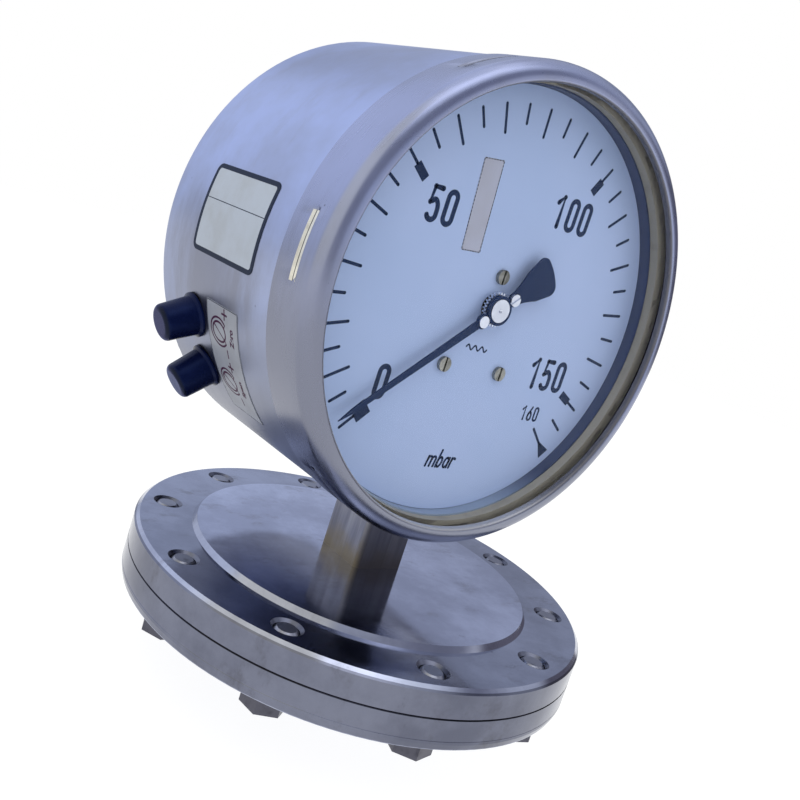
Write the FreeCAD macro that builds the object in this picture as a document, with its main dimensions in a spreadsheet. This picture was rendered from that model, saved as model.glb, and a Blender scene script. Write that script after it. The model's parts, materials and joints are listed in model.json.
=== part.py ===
# Pressure transmitter with dial: drum case on a bolted diaphragm flange.
# Frame: origin on the end face of the process thread, +Z up the stem,
# -Y out of the dial, +X to the right as the dial is read. Sizes in millimetres.
import FreeCAD
import Part
import Sketcher
import math
import os
import re
from FreeCAD import Placement, Rotation, Vector

doc = FreeCAD.newDocument("PressureTransmitter")

SIZES = {
    # process connection
    "thread_diameter": ("20.955", "outside of the pipe thread"),
    "thread_length": ("20", "end face of the thread to the hexagon"),
    "undercut_length": ("3", "thread run-out under the hexagon"),
    "undercut_diameter": ("17.5", "waist of the run-out"),
    "pilot_diameter": ("6", "pilot on the end face"),
    "pilot_length": ("3", "pilot below the end face"),
    "port_diameter": ("3.5", "pressure bore"),
    "hex_flats": ("27", "hexagon across its flats"),
    "hex_height": ("10", "hexagon along the axis"),
    "tenon_diameter": ("18", "tenon welded into the lower flange"),
    # bolted flange
    "flange_diameter": ("165", "both flange plates"),
    "lower_flange_thickness": ("10.1", "lower plate"),
    "upper_flange_thickness": ("9.6", "upper plate without its boss"),
    "flange_chamfer": ("1.5", "top edge of the upper plate"),
    "seam_chamfer": ("0.3", "broken edges where the flanges meet"),
    "lower_edge_height": ("2", "relief at the lower edge, along the axis"),
    "lower_edge_depth": ("0.6", "relief at the lower edge, across"),
    "bolt_edge": ("10", "bolt circle inside the flange edge"),
    "bolt_count": ("10", "bolts around the flange"),
    "bolt_diameter": ("8", "bolt shank"),
    "bolt_clearance": ("0.2", "radial play of a bolt in its hole"),
    "bolt_head_flats": ("13", "bolt head across its flats"),
    "bolt_head_height": ("5.5", "bolt head along the axis"),
    "bolt_end_drop": ("0.3", "bolt end below the top face"),
    "bolt_end_chamfer": ("0.9", "chamfer on the bolt end"),
    "hole_chamfer": ("1", "countersink of the holes in the top face"),
    "boss_slope": ("1.25", "slope of the raised boss, across"),
    "boss_edge": ("20", "foot of the raised boss inside the flange edge"),
    "boss_height": ("1.8", "raised boss"),
    # pressure chamber
    "clamp_width": ("7", "rim of the diaphragm held between the plates"),
    "lower_chamber_depth": ("3", "chamber under the diaphragm"),
    "upper_chamber_depth": ("5.6", "chamber over the diaphragm"),
    "diaphragm_inset": ("11.5", "edge of the diaphragm inside the bolt circle"),
    "diaphragm_thickness": ("0.4", "sheet of the diaphragm"),
    "diaphragm_centre": ("30", "flat middle of the diaphragm"),
    "diaphragm_edge": ("4", "flat ring inside the clamping"),
    "diaphragm_seat_play": ("0.3", "play around the clamped rim"),
    "wave_height": ("1", "height of a corrugation"),
    "wave_count": ("4", "corrugations"),
    "seal_gap": ("1.3", "sealing ring outside the diaphragm"),
    "seal_width": ("3", "sealing ring across"),
    "seal_height": ("2", "sealing ring along the axis"),
    # stem and rod
    "stem_width": ("22", "square bar"),
    "stem_chamfer": ("1.6", "long edges of the bar"),
    "stem_hole_play": ("0.15", "play of the bar in the case"),
    "stem_shoulder": ("32.5", "square part above the boss"),
    "tongue_thickness": ("12", "flat tongue between the movement plates"),
    "tongue_hole_diameter": ("3", "screw holes in the tongue"),
    "stem_tenon_diameter": ("14", "tenon welded into the upper flange"),
    "stem_bore": ("8", "bore for rod and bush"),
    "bush_length": ("10", "rod bush"),
    "rod_diameter": ("4", "push rod"),
    "rod_play": ("0.05", "running fit of the rod"),
    "foot_diameter": ("24", "foot on the diaphragm"),
    "foot_thickness": ("1.5", "foot on the diaphragm"),
    "yoke_width": ("5.4", "slotted head across"),
    "yoke_thickness": ("2", "slotted head front to back"),
    "yoke_rise": ("2.6", "slotted head above the pin"),
    "yoke_drop": ("8", "slotted head below the pin"),
    "yoke_slot_play": ("0.2", "play of the sector pin in the slot"),
    "yoke_slot_length": ("2.6", "slot across"),
    "yoke_socket": ("3", "rod end inside the head"),
    "yoke_collar_diameter": ("6", "round foot of the head"),
    "yoke_collar_height": ("5", "round foot of the head"),
    "yoke_gap": ("7.5", "head above the tongue and its bush"),
    # case
    "case_lift": ("23.1", "underside of the drum above the top face of the flange"),
    "case_diameter": ("160", "drum"),
    "case_wall": ("1.2", "sheet of the drum"),
    "case_back": ("62.9", "back face behind the stem axis"),
    "back_radius": ("3", "rounding of the back edge"),
    "neck_start": ("13.9", "step from drum to neck, before the stem axis"),
    "neck_step": ("2", "step from drum to neck, across"),
    "rim_front": ("27", "front of the turned-in rim"),
    "rim_width": ("5.4", "turned-in rim across"),
    "rim_collar_end": ("20", "rear end of the collar"),
    "lug_height": ("1.5", "bayonet lugs above the neck"),
    "lug_thickness": ("1.6", "bayonet lugs along the axis"),
    "lug_angle": ("36", "bayonet lugs around the axis"),
    "lug_count": ("6", "bayonet lugs and ring slots"),
    # ring and window
    "ring_proud": ("0.5", "skirt of the ring outside the drum"),
    "ring_sheet": ("0.75", "sheet of the ring"),
    "ring_end": ("14.4", "rear edge of the skirt"),
    "ring_front": ("36.15", "front of the bead"),
    "ring_bead_radius": ("4.4", "outer rounding of the bead"),
    "lip_inset": ("6.75", "turned-in lip inside the skirt"),
    "lip_end": ("33.6", "rear edge of the lip"),
    "lip_radius": ("1.1", "rounding of the lip"),
    "slot_turn": ("3.3", "turn of the slots from the level line"),
    "slot_angle": ("15.2", "slot around the axis"),
    "slot_place": ("24.3", "slot before the stem axis"),
    "slot_width": ("2.8", "slot along the axis"),
    "slot_depth": ("1", "slot pressed in from outside"),
    "dent_width": ("1.8", "pressed-in ridge along the axis"),
    "dent_reach": ("2.1", "pressed-in ridge inside the skirt"),
    "gasket_thickness": ("3.3", "window seal along the axis"),
    "gasket_width": ("4.5", "window seal across"),
    "gasket_edge": ("0.3", "window seal inside the neck"),
    "glass_edge": ("0.2", "window pane inside the edge of its seal"),
    "glass_thickness": ("3", "window pane"),
    "glass_chamfer": ("0.4", "ground edge of the pane"),
    # dial
    "dial_front": ("22.8", "printed face before the stem axis"),
    "dial_gap": ("0.15", "dial plate inside the collar"),
    "dial_thickness": ("0.8", "dial plate"),
    "dial_bore": ("9", "hole for the pointer shaft"),
    "dial_screw_high": ("10.7", "upper screw above the dial centre"),
    "dial_screw_low": ("21.5", "lower screws below the dial centre"),
    "dial_screw_side": ("13.05", "lower screws to each side"),
    "dial_head_diameter": ("5", "dial screw head"),
    "dial_head_height": ("1.3", "dial screw head"),
    "dial_slot_width": ("0.8", "driver slot"),
    "dial_slot_depth": ("0.7", "driver slot"),
    "dial_shank_diameter": ("2.6", "dial screw shank"),
    "dial_shank_length": ("6", "dial screw shank"),
    "dial_shank_play": ("0.1", "radial play of the shank"),
    "dial_post_diameter": ("6", "posts behind the dial"),
    # movement
    "plate_thickness": ("1.5", "movement plates"),
    "plate_width": ("38", "movement plates"),
    "plate_foot": ("2", "plate edge above the square part of the stem"),
    "plate_top": ("16", "plate edge above the dial centre"),
    "plate_corner": ("4", "cut corners of the plates"),
    "pillar_diameter": ("5", "pillars between the plates"),
    "pillar_pin_diameter": ("3", "riveted ends of the pillars"),
    "pillar_side": ("14", "pillars to each side"),
    "pillar_high": ("11", "pillars above the dial centre"),
    "screw_head_diameter": ("5", "frame and board screw heads"),
    "screw_head_height": ("1.8", "frame and board screw heads"),
    "screw_shank_diameter": ("2.8", "frame and board screw shanks"),
    "screw_shank_length": ("6", "frame and board screw shanks"),
    "screw_side": ("7.5", "plate screws to each side"),
    "tooth_module": ("0.5", "sector and pinion teeth"),
    "sector_teeth": ("108", "teeth of a full circle of the sector"),
    "sector_cut_teeth": ("18", "teeth cut on the sector"),
    "pinion_teeth": ("16", "teeth of the pinion"),
    "tooth_play": ("0.12", "play between the teeth"),
    "sector_offset": ("5", "sector pivot to the left of the dial centre"),
    "sector_swing": ("40", "turn of the sector for the whole scale"),
    "sector_thickness": ("1.2", "sector plate"),
    "sector_hub_diameter": ("9", "round middle of the sector"),
    "sector_rim": ("3.5", "rim under the teeth"),
    "sector_arm": ("5", "pivot to the pin"),
    "sector_arm_width": ("4.4", "arm that holds the pin"),
    "sector_pin_diameter": ("1.6", "pin in the yoke slot"),
    "sector_pin_length": ("4.6", "pin front to back"),
    "sector_arbor_diameter": ("3", "arbor between the plates"),
    "pivot_diameter": ("2", "pivots in the plates"),
    "pivot_play": ("0.05", "running fit of pivots"),
    "shoulder_gap": ("0.4", "end play of the arbors"),
    "arbor_diameter": ("3.2", "pointer shaft between the plates"),
    "arbor_nose_diameter": ("2.2", "pointer shaft through the dial"),
    "arbor_tail": ("4", "pointer shaft behind the back plate"),
    "collet_diameter": ("5", "collar for the hairspring"),
    "pinion_length": ("4", "pinion along the shaft"),
    "spring_width": ("1.2", "hairspring along the shaft"),
    "spring_strip": ("0.25", "hairspring strip"),
    "spring_pitch": ("1.5", "hairspring from turn to turn"),
    "spring_half_turns": ("8", "half turns of the hairspring"),
    "spring_place": ("4.6", "front edge of the hairspring"),
    "stud_diameter": ("1.6", "anchor of the hairspring"),
    # pointer
    "pointer_angle": ("-131.15", "pointer at rest, from the top of the dial"),
    "blade_back": ("26", "rear face of the blade"),
    "blade_thickness": ("0.6", "blade"),
    "blade_gap": ("5.2", "tip of the blade inside the edge of the dial"),
    "blade_root_width": ("3.2", "blade at the hub"),
    "blade_tip_width": ("1.7", "blade before its point"),
    "blade_point": ("6", "pointed end"),
    "tail_reach": ("24.8", "corners of the tail"),
    "tail_bow": ("1.4", "middle of the tail's end beyond its corners"),
    "tail_bow_radius": ("22", "rounding in the middle of the tail's end"),
    "tail_width": ("16", "end of the tail"),
    "tail_root_width": ("4.4", "tail at the hub"),
    "tail_hollow": ("28", "radius of the hollow sides of the tail"),
    "tail_radius": ("3", "rounded corners of the tail"),
    "collar_diameter": ("10.2", "raised collar of the blade"),
    "collar_height": ("0.6", "raised collar of the blade"),
    "hub_disc_diameter": ("7.9", "bright disc of the hub"),
    "hub_front": ("27.4", "front of the hub"),
    "hub_sleeve_diameter": ("5.2", "sleeve through blade and wheel"),
    "hub_back": ("23.8", "rear end of the sleeve"),
    "hub_dimple_diameter": ("1.5", "dimple in the hub"),
    "hub_dimple_depth": ("0.5", "dimple in the hub"),
    "wheel_module": ("0.4", "teeth of wheel and trim pinion"),
    "wheel_teeth": ("28", "wheel on the hub"),
    "trim_teeth": ("7", "pinion of the trim screw"),
    "wheel_play": ("0.2", "play between these teeth"),
    "wheel_thickness": ("1", "wheel on the hub"),
    "wheel_gap": ("0.3", "wheel behind the blade"),
    "trim_head_diameter": ("4.2", "trim screw head"),
    "trim_head_height": ("0.9", "trim screw head"),
    "trim_shank_diameter": ("1.6", "trim screw in the blade"),
    "trim_slot_width": ("0.7", "driver slot of the trim screw"),
    "trim_slot_depth": ("0.5", "driver slot of the trim screw"),
    "trim_lug_diameter": ("4.9", "blade around the trim screw"),
    "rivet_place": ("7.2", "rivet from the hub"),
    "rivet_head_diameter": ("4.1", "rivet head"),
    "rivet_head_height": ("0.8", "rivet head"),
    "rivet_shank_diameter": ("1.8", "rivet in the blade"),
    "rivet_lug_diameter": ("5.2", "blade around the rivet"),
    # electronics
    "magnet_diameter": ("6", "magnet on the shaft"),
    "magnet_length": ("3.5", "magnet on the shaft"),
    "magnet_gap": ("0.8", "magnet behind the back plate"),
    "board_gap": ("8", "board behind the back plate"),
    "board_thickness": ("1.6", "circuit board"),
    "board_width": ("72", "circuit board"),
    "board_top": ("22", "board edge above the dial centre"),
    "board_bottom": ("48", "board edge below the dial centre"),
    "board_post_side": ("14.5", "board posts to each side"),
    "board_post_high": ("4", "upper board posts above the dial centre"),
    "board_post_low": ("40", "lower board posts below the dial centre"),
    "board_post_diameter": ("5.5", "board posts"),
    "sensor_width": ("6", "angle sensor"),
    "sensor_height": ("1.4", "angle sensor"),
    "terminal_width": ("26", "terminal block"),
    "terminal_depth": ("12", "terminal block off the board"),
    "terminal_height": ("11", "terminal block"),
    "terminal_side": ("18", "terminal block to the right"),
    "terminal_low": ("16", "terminal block below the dial centre"),
    "terminal_pitch": ("8", "clamp to clamp"),
    "terminal_hole": ("3.6", "clamp opening"),
    "terminal_hole_depth": ("7", "clamp opening"),
    # adjusters and caps
    "zero_angle": ("-113.7", "zero adjuster, from the top"),
    "span_angle": ("-127.6", "span adjuster, from the top"),
    "adjuster_place": ("35.6", "adjusters behind the stem axis"),
    "trimmer_diameter": ("14", "adjuster body"),
    "trimmer_length": ("9", "adjuster body"),
    "trimmer_seat": ("0.6", "adjuster body below the inside of the wall"),
    "adjuster_bush_diameter": ("7", "threaded bush"),
    "adjuster_bush_height": ("8.5", "bush above the drum"),
    "adjuster_hole_play": ("0.2", "radial play of the bush in the wall"),
    "adjuster_screw_diameter": ("4.9", "turning screw"),
    "adjuster_screw_play": ("0.05", "running fit of the screw"),
    "adjuster_screw_height": ("9.3", "screw above the drum"),
    "adjuster_screw_length": ("14", "turning screw"),
    "adjuster_slot_width": ("0.9", "driver slot"),
    "adjuster_slot_depth": ("1.2", "driver slot"),
    "adjuster_nut_flats": ("10", "nut on the bush"),
    "adjuster_nut_height": ("2", "nut on the bush"),
    "adjuster_nut_seat": ("0.05", "nut above the drum"),
    "cap_rim_diameter": ("15.5", "flared rim of a cap"),
    "cap_rim_height": ("1.4", "flared rim of a cap"),
    "cap_foot_diameter": ("13.6", "cap above its rim"),
    "cap_top_diameter": ("12.6", "cap at its end"),
    "cap_height": ("13", "cap above the drum"),
    "cap_radius": ("2", "rounded end of a cap"),
    "cap_seat": ("0.05", "cap above the drum"),
    "cap_cavity_diameter": ("12.2", "room for the nut"),
    "cap_cavity_height": ("2.6", "room for the nut"),
    "cap_grip_play": ("0.05", "cap on the bush"),
    "cap_roof": ("2.5", "end wall of a cap"),
    # cable entry
    "gland_place": ("35", "cable entry behind the stem axis"),
    "gland_thread_diameter": ("20", "thread in the wall"),
    "gland_hole_play": ("0.2", "radial play in the wall"),
    "gland_thread_length": ("10", "thread inside the case"),
    "gland_flats": ("24", "hexagons of the cable entry"),
    "gland_hex_height": ("6", "fixed hexagon"),
    "gland_seat": ("0.05", "hexagon above the drum"),
    "gland_bore": ("13", "way through the body"),
    "gland_seal_depth": ("10", "room for the seal"),
    "gland_seal_diameter": ("15", "seal, outside"),
    "gland_neck_diameter": ("18", "upper thread of the body"),
    "gland_neck_length": ("9", "upper thread of the body"),
    "gland_nut_gap": ("1.2", "cap nut above the hexagon"),
    "gland_nut_hex": ("9", "hexagon part of the cap nut"),
    "gland_nut_length": ("17", "cap nut"),
    "gland_nut_play": ("0.1", "cap nut on the upper thread"),
    "gland_nut_top_diameter": ("18", "end face of the cap nut"),
    "gland_mouth": ("11.5", "mouth of the cap nut"),
    "cable_bore": ("9", "seal, inside"),
    "locknut_height": ("5", "nut inside the case"),
    "locknut_seat": ("1.4", "nut below the inside of the wall"),
    # relief plug
    "plug_inset": ("34", "plug below the top of the drum"),
    "plug_hole_diameter": ("18", "hole in the back"),
    "plug_head_diameter": ("26", "plug outside"),
    "plug_head_height": ("3", "plug outside"),
    "plug_lip_diameter": ("21", "plug inside"),
    "plug_lip_height": ("2", "plug inside"),
    "plug_edge": ("1", "rounded edge of the plug"),
}

PLACES = {
    "flange_bottom": "thread_length + hex_height",
    "flange_seam": "flange_bottom + lower_flange_thickness",
    "flange_top": "flange_seam + upper_flange_thickness",
    "boss_top": "flange_top + boss_height",
    "bolt_circle": "flange_diameter - 2 * bolt_edge",
    "boss_foot_diameter": "flange_diameter - 2 * boss_edge",
    "boss_diameter": "boss_foot_diameter - 2 * boss_slope",
    "diaphragm_diameter": "bolt_circle - 2 * diaphragm_inset",
    "chamber_diameter": "diaphragm_diameter - 2 * clamp_width",
    "seal_inner_diameter": "diaphragm_diameter + 2 * seal_gap",
    "chamber_floor": "flange_seam - lower_chamber_depth",
    "chamber_roof": "flange_seam + upper_chamber_depth",
    "shoulder_top": "boss_top + stem_shoulder",
    "case_radius": "case_diameter / 2",
    "dial_centre": "flange_top + case_lift + case_radius",
    "plug_high": "case_radius - plug_inset",
    "neck_diameter": "case_diameter - 2 * neck_step",
    "lug_diameter": "neck_diameter + 2 * lug_height",
    "rim_inner_diameter": "neck_diameter - 2 * rim_width",
    "ring_diameter": "case_diameter + 2 * ring_proud",
    "lip_diameter": "ring_diameter - 2 * lip_inset",
    "dent_inner_diameter": "ring_diameter - 2 * dent_reach",
    "gasket_outer_diameter": "neck_diameter - 2 * gasket_edge",
    "gasket_inner_diameter": "gasket_outer_diameter - 2 * gasket_width",
    "glass_diameter": "gasket_outer_diameter - 2 * glass_edge",
    "dial_diameter": "rim_inner_diameter - 2 * dial_gap",
    "blade_reach": "dial_diameter / 2 - blade_gap",
    "case_inside": "case_radius - case_wall",
    "plate_inside": "tongue_thickness / 2",
    "plate_outside": "plate_inside + plate_thickness",
    "plate_bottom": "shoulder_top + plate_foot",
    "gear_distance": "tooth_module * (sector_teeth + pinion_teeth) / 2",
    "sector_drop": "sqrt(gear_distance * gear_distance - sector_offset * sector_offset)",
    "sector_height": "dial_centre - sector_drop",
    "pin_drop": "sector_arm * sin(sector_swing / 2)",
    "pin_rest": "sector_height - pin_drop",
    "pin_side": "sector_arm * cos(sector_swing / 2) - sector_offset",
    "yoke_bottom": "pin_rest - yoke_drop",
    "rod_top": "yoke_bottom - yoke_collar_height + yoke_socket",
    "tongue_top": "yoke_bottom - yoke_collar_height - yoke_gap",
    "tongue_length": "tongue_top - shoulder_top",
    "plate_screw_height": "shoulder_top + tongue_length / 2",
    "glass_back": "rim_front + gasket_thickness",
    "dial_rear": "dial_front - dial_thickness",
    "blade_front": "blade_back + blade_thickness",
    "wheel_front": "blade_back - wheel_gap",
    "wheel_back": "wheel_front - wheel_thickness",
    "trim_distance": "wheel_module * (wheel_teeth + trim_teeth) / 2",
    "board_front": "plate_outside + board_gap",
    "board_rear": "board_front + board_thickness",
    "spring_turns": "spring_half_turns / 2",
    "spring_reach": "collet_diameter / 2 + spring_pitch * spring_turns",
    "bolt_hole": "bolt_diameter + 2 * bolt_clearance",
}


def fill_sheet(name, texts):
    """Spreadsheet whose cells carry the given texts under their aliases."""
    sheet = doc.addObject("Spreadsheet::Sheet", name)
    for row, (alias, text) in enumerate(texts.items(), start=1):
        sheet.set("A%d" % row, alias)
        sheet.set("B%d" % row, text)
        sheet.setAlias("B%d" % row, alias)
    return sheet


def qualified(text, own=""):
    """Expression with the sheet's name put before every alias in it."""
    def named(match):
        word = match.group(0)
        if word in SIZES:
            return "Sizes." + word
        if word in PLACES and own != "Places":
            return "Places." + word
        return word
    return re.sub(r"[a-z][a-z0-9_]*", named, text)


sizes = fill_sheet("Sizes", {alias: text for alias, (text, note) in SIZES.items()})
places = fill_sheet("Places", {alias: "=" + qualified(text, "Places") for alias, text in PLACES.items()})
doc.recompute()


def size(alias):
    """Number behind an alias of either sheet."""
    sheet = sizes if alias in SIZES else places
    return float(sheet.get(alias))


def bind(thing, path, text):
    """Ties a property to an expression of aliases."""
    thing.setExpression(path, qualified(text))


def new_body(label, across="0", back="0", height="0", axis=None, angle="0"):
    """Empty body whose own origin stands at the given place."""
    body = doc.addObject("PartDesign::Body", label)
    body.Label = label
    if axis is not None:
        body.Placement = Placement(Vector(), Rotation(axis, 1))
        bind(body, "Placement.Rotation.Angle", angle)
    bind(body, "Placement.Base.x", across)
    bind(body, "Placement.Base.y", back)
    bind(body, "Placement.Base.z", height)
    return body


def origin_part(body, role):
    """Plane or axis of the body's origin."""
    return next(part for part in body.Origin.OriginFeatures if part.Role == role)


def new_sketch(body, role, offset="0"):
    """Sketch on a plane of the body's origin, shifted along the plane's normal."""
    sketch = body.newObject("Sketcher::SketchObject", body.Label + "_sketch")
    sketch.AttachmentSupport = [(origin_part(body, role), "")]
    sketch.MapMode = "FlatFace"
    bind(sketch, "AttachmentOffset.Base.z", offset)
    return sketch


def fix_point(sketch, element, point, across, up):
    """Ties a point of a sketch to two expressions."""
    for kind, axis, text in (("DistanceX", -2, across), ("DistanceY", -1, up)):
        if text == "0":
            sketch.addConstraint(Sketcher.Constraint("PointOnObject", element, point, axis))
        else:
            number = sketch.addConstraint(Sketcher.Constraint(kind, -1, 1, element, point, 1.0))
            bind(sketch, "Constraints[%d]" % number, text)


def add_outline(sketch, corners):
    """Closed outline through corners, each an (across, up) pair of expressions."""
    count = len(corners)
    first = sketch.GeometryCount
    turns = [2 * math.pi * step / count for step in range(count + 1)]
    spots = [Vector(math.cos(turn), math.sin(turn), 0) for turn in turns]
    sketch.addGeometry([Part.LineSegment(spots[step], spots[step + 1]) for step in range(count)])
    joints = [(first + step, first + (step + 1) % count) for step in range(count)]
    sketch.addConstraint([Sketcher.Constraint("Coincident", one, 2, two, 1) for one, two in joints])
    for step, (across, up) in enumerate(corners):
        fix_point(sketch, first + step, 1, across, up)


def add_circle(sketch, across, up, diameter):
    """Circle with its centre and diameter tied to expressions."""
    element = sketch.addGeometry(Part.Circle(Vector(1, 1, 0), Vector(0, 0, 1), 1))
    fix_point(sketch, element, 3, across, up)
    number = sketch.addConstraint(Sketcher.Constraint("Diameter", element, 1.0))
    bind(sketch, "Constraints[%d]" % number, diameter)


def rectangle(across, up, width, height):
    """Corners of a rectangle about a centre."""
    left = "%s - (%s) / 2" % (across, width)
    right = "%s + (%s) / 2" % (across, width)
    low = "%s - (%s) / 2" % (up, height)
    high = "%s + (%s) / 2" % (up, height)
    return [(left, low), (right, low), (right, high), (left, high)]


def hexagon(flats):
    """Corners of a hexagon about the origin."""
    reach = "(%s) / sqrt(3)" % flats
    corners = []
    for turn in range(0, 360, 60):
        up = "%s * sin(%d)" % (reach, turn) if turn % 180 else "0"
        corners.append(("%s * cos(%d)" % (reach, turn), up))
    return corners


def feature(body, kind, sketch):
    """Feature of a body made from a sketch."""
    made = body.newObject("PartDesign::" + kind, body.Label + "_" + kind.lower())
    made.Profile = sketch
    sketch.Visibility = False
    return made


def pad(body, sketch, length, reverse=False):
    """Pad along the sketch's normal, or against it."""
    made = feature(body, "Pad", sketch)
    bind(made, "Length", length)
    made.Reversed = reverse
    return made


def pocket(body, sketch, length=None, reverse=False):
    """Pocket against the sketch's normal, or along it; through everything without a length."""
    made = feature(body, "Pocket", sketch)
    if length is None:
        made.Type = "ThroughAll"
    else:
        bind(made, "Length", length)
    made.Reversed = reverse
    return made


def revolve(body, sketch, kind="Revolution", angle=None):
    """Turns a sketch about its vertical axis, fully or over an angle to both sides."""
    made = feature(body, kind, sketch)
    made.ReferenceAxis = (sketch, ["V_Axis"])
    if angle is not None:
        made.Midplane = True
        bind(made, "Angle", angle)
    return made


def turned(label, corners, role="XZ_Plane", **place):
    """Body turned about its own Z axis (XZ plane) or Y axis (XY plane)."""
    body = new_body(label, **place)
    sketch = new_sketch(body, role)
    add_outline(sketch, corners)
    revolve(body, sketch)
    return body


def around(body, originals, role, count):
    """Pattern of features around an axis of the body's origin."""
    made = body.newObject("PartDesign::PolarPattern", body.Label + "_pattern")
    made.Originals = originals
    made.Axis = (origin_part(body, role), [""])
    made.Angle = 360
    bind(made, "Occurrences", count)
    body.Tip = made
    return made


def soften(body, kind, amount, wanted):
    """Fillet or chamfer on the edges that a test picks out."""
    doc.recompute()
    tip = body.Tip
    names = ["Edge%d" % (step + 1) for step, edge in enumerate(tip.Shape.Edges) if wanted(edge)]
    made = body.newObject("PartDesign::" + kind, body.Label + "_" + kind.lower())
    made.Base = (tip, names)
    bind(made, "Radius" if kind == "Fillet" else "Size", amount)
    body.Tip = made
    return made


NEAR = 0.001


def is_circle(edge, radius, along, level):
    """Whether an edge is a round edge of a radius at a level of an axis."""
    if not isinstance(edge.Curve, Part.Circle):
        return False
    centre = edge.Curve.Center
    return abs(edge.Curve.Radius - radius) < NEAR and abs(getattr(centre, along) - level) < NEAR


def is_upright(edge, across, up):
    """Whether an edge runs along Y at a place of the XZ plane."""
    low = edge.BoundBox
    return (low.YLength > NEAR and low.XLength < NEAR and low.ZLength < NEAR
            and abs(low.XMin - across) < NEAR and abs(low.ZMin - up) < NEAR)


def half(text):
    """Half of an expression."""
    return "(%s) / 2" % text


FRONT = Vector(0, -1, 0)
TURN_AXIS = Vector(0, 1, 0)
BACK_AXIS = Vector(1, 0, 0)
CASE = {"height": "dial_centre"}


# process connection: pipe thread with run-out, hexagon and tenon, pierced by the pressure bore
spigot = turned("process_connection", [
    (half("port_diameter"), "-pilot_length"),
    (half("pilot_diameter"), "-pilot_length"),
    (half("pilot_diameter"), "0"),
    (half("thread_diameter"), "0"),
    (half("thread_diameter"), "thread_length - undercut_length"),
    (half("undercut_diameter"), "thread_length - undercut_length"),
    (half("undercut_diameter"), "thread_length + hex_height / 2"),
    (half("tenon_diameter"), "thread_length + hex_height / 2"),
    (half("tenon_diameter"), "chamber_floor"),
    (half("port_diameter"), "chamber_floor"),
])
hex_sketch = new_sketch(spigot, "XY_Plane", "thread_length")
add_outline(hex_sketch, hexagon("hex_flats"))
add_circle(hex_sketch, "0", "0", "port_diameter")
pad(spigot, hex_sketch, "hex_height")


def bolt_holes(body, top):
    """Ring of bolt holes down from a level."""
    sketch = new_sketch(body, "XY_Plane", top)
    add_circle(sketch, half("bolt_circle"), "0", "bolt_hole")
    hole = pocket(body, sketch)
    around(body, [hole], "Z_Axis", "bolt_count")


# lower flange with chamber, diaphragm seat and seal groove
lower = turned("lower_flange", [
    (half("tenon_diameter"), "flange_bottom"),
    (half("flange_diameter") + " - lower_edge_depth", "flange_bottom"),
    (half("flange_diameter"), "flange_bottom + lower_edge_height"),
    (half("flange_diameter"), "flange_seam - seam_chamfer"),
    (half("flange_diameter") + " - seam_chamfer", "flange_seam"),
    (half("seal_inner_diameter") + " + seal_width", "flange_seam"),
    (half("seal_inner_diameter") + " + seal_width", "flange_seam - seal_height"),
    (half("seal_inner_diameter"), "flange_seam - seal_height"),
    (half("seal_inner_diameter"), "flange_seam"),
    (half("diaphragm_diameter") + " + diaphragm_seat_play", "flange_seam"),
    (half("diaphragm_diameter") + " + diaphragm_seat_play", "flange_seam - diaphragm_thickness"),
    (half("chamber_diameter"), "flange_seam - diaphragm_thickness"),
    (half("chamber_diameter"), "chamber_floor"),
    (half("tenon_diameter"), "chamber_floor"),
])
bolt_holes(lower, "flange_seam")

# upper flange with its flat boss and the chamber under it
upper = turned("upper_flange", [
    (half("chamber_diameter"), "flange_seam"),
    (half("flange_diameter") + " - seam_chamfer", "flange_seam"),
    (half("flange_diameter"), "flange_seam + seam_chamfer"),
    (half("flange_diameter"), "flange_top - flange_chamfer"),
    (half("flange_diameter") + " - flange_chamfer", "flange_top"),
    (half("boss_foot_diameter"), "flange_top"),
    (half("boss_diameter"), "boss_top"),
    (half("stem_tenon_diameter"), "boss_top"),
    (half("stem_tenon_diameter"), "chamber_roof"),
    (half("chamber_diameter"), "chamber_roof"),
])
bolt_holes(upper, "flange_top")
soften(upper, "Chamfer", "hole_chamfer",
       lambda edge: is_circle(edge, size("bolt_hole") / 2, "z", size("flange_top")))

# sealing ring in its groove
turned("flange_seal", [
    (half("seal_inner_diameter"), "flange_seam - seal_height"),
    (half("seal_inner_diameter") + " + seal_width", "flange_seam - seal_height"),
    (half("seal_inner_diameter") + " + seal_width", "flange_seam"),
    (half("seal_inner_diameter"), "flange_seam"),
])


def wave_line():
    """Lower line of the corrugated sheet from the middle outwards, about the seat."""
    start = half("diaphragm_centre")
    span = "(%s - diaphragm_edge - %s)" % (half("chamber_diameter"), start)
    line = [("0", "0"), (start, "0")]
    steps = 4 * int(size("wave_count"))
    for step in range(1, steps):
        level = "wave_height / 2" if step % 4 in (1, 2) else "-wave_height / 2"
        line.append(("%s + %s * %d / %d" % (start, span, step, steps), level))
    line.append(("%s + %s" % (start, span), "0"))
    line.append((half("diaphragm_diameter"), "0"))
    return line


# corrugated diaphragm clamped between the flanges
under = wave_line()
over = [(across, up + " + diaphragm_thickness") for across, up in under]
turned("diaphragm", under + over[::-1], height="flange_seam - diaphragm_thickness")

# ten flange bolts put in from below
bolts = new_body("flange_bolts")
bolt_heads = new_sketch(bolts, "XY_Plane", "flange_bottom - bolt_head_height")
add_outline(bolt_heads, [("bolt_circle / 2 + " + across, up) for across, up in hexagon("bolt_head_flats")])
bolt_head = pad(bolts, bolt_heads, "bolt_head_height")
bolt_shanks = new_sketch(bolts, "XY_Plane", "flange_bottom")
add_circle(bolt_shanks, half("bolt_circle"), "0", "bolt_diameter")
bolt_shank = pad(bolts, bolt_shanks, "flange_top - bolt_end_drop - flange_bottom")
around(bolts, [bolt_head, bolt_shank], "Z_Axis", "bolt_count")
soften(bolts, "Chamfer", "bolt_end_chamfer",
       lambda edge: is_circle(edge, size("bolt_diameter") / 2, "z",
                              size("flange_top") - size("bolt_end_drop")))

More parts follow.
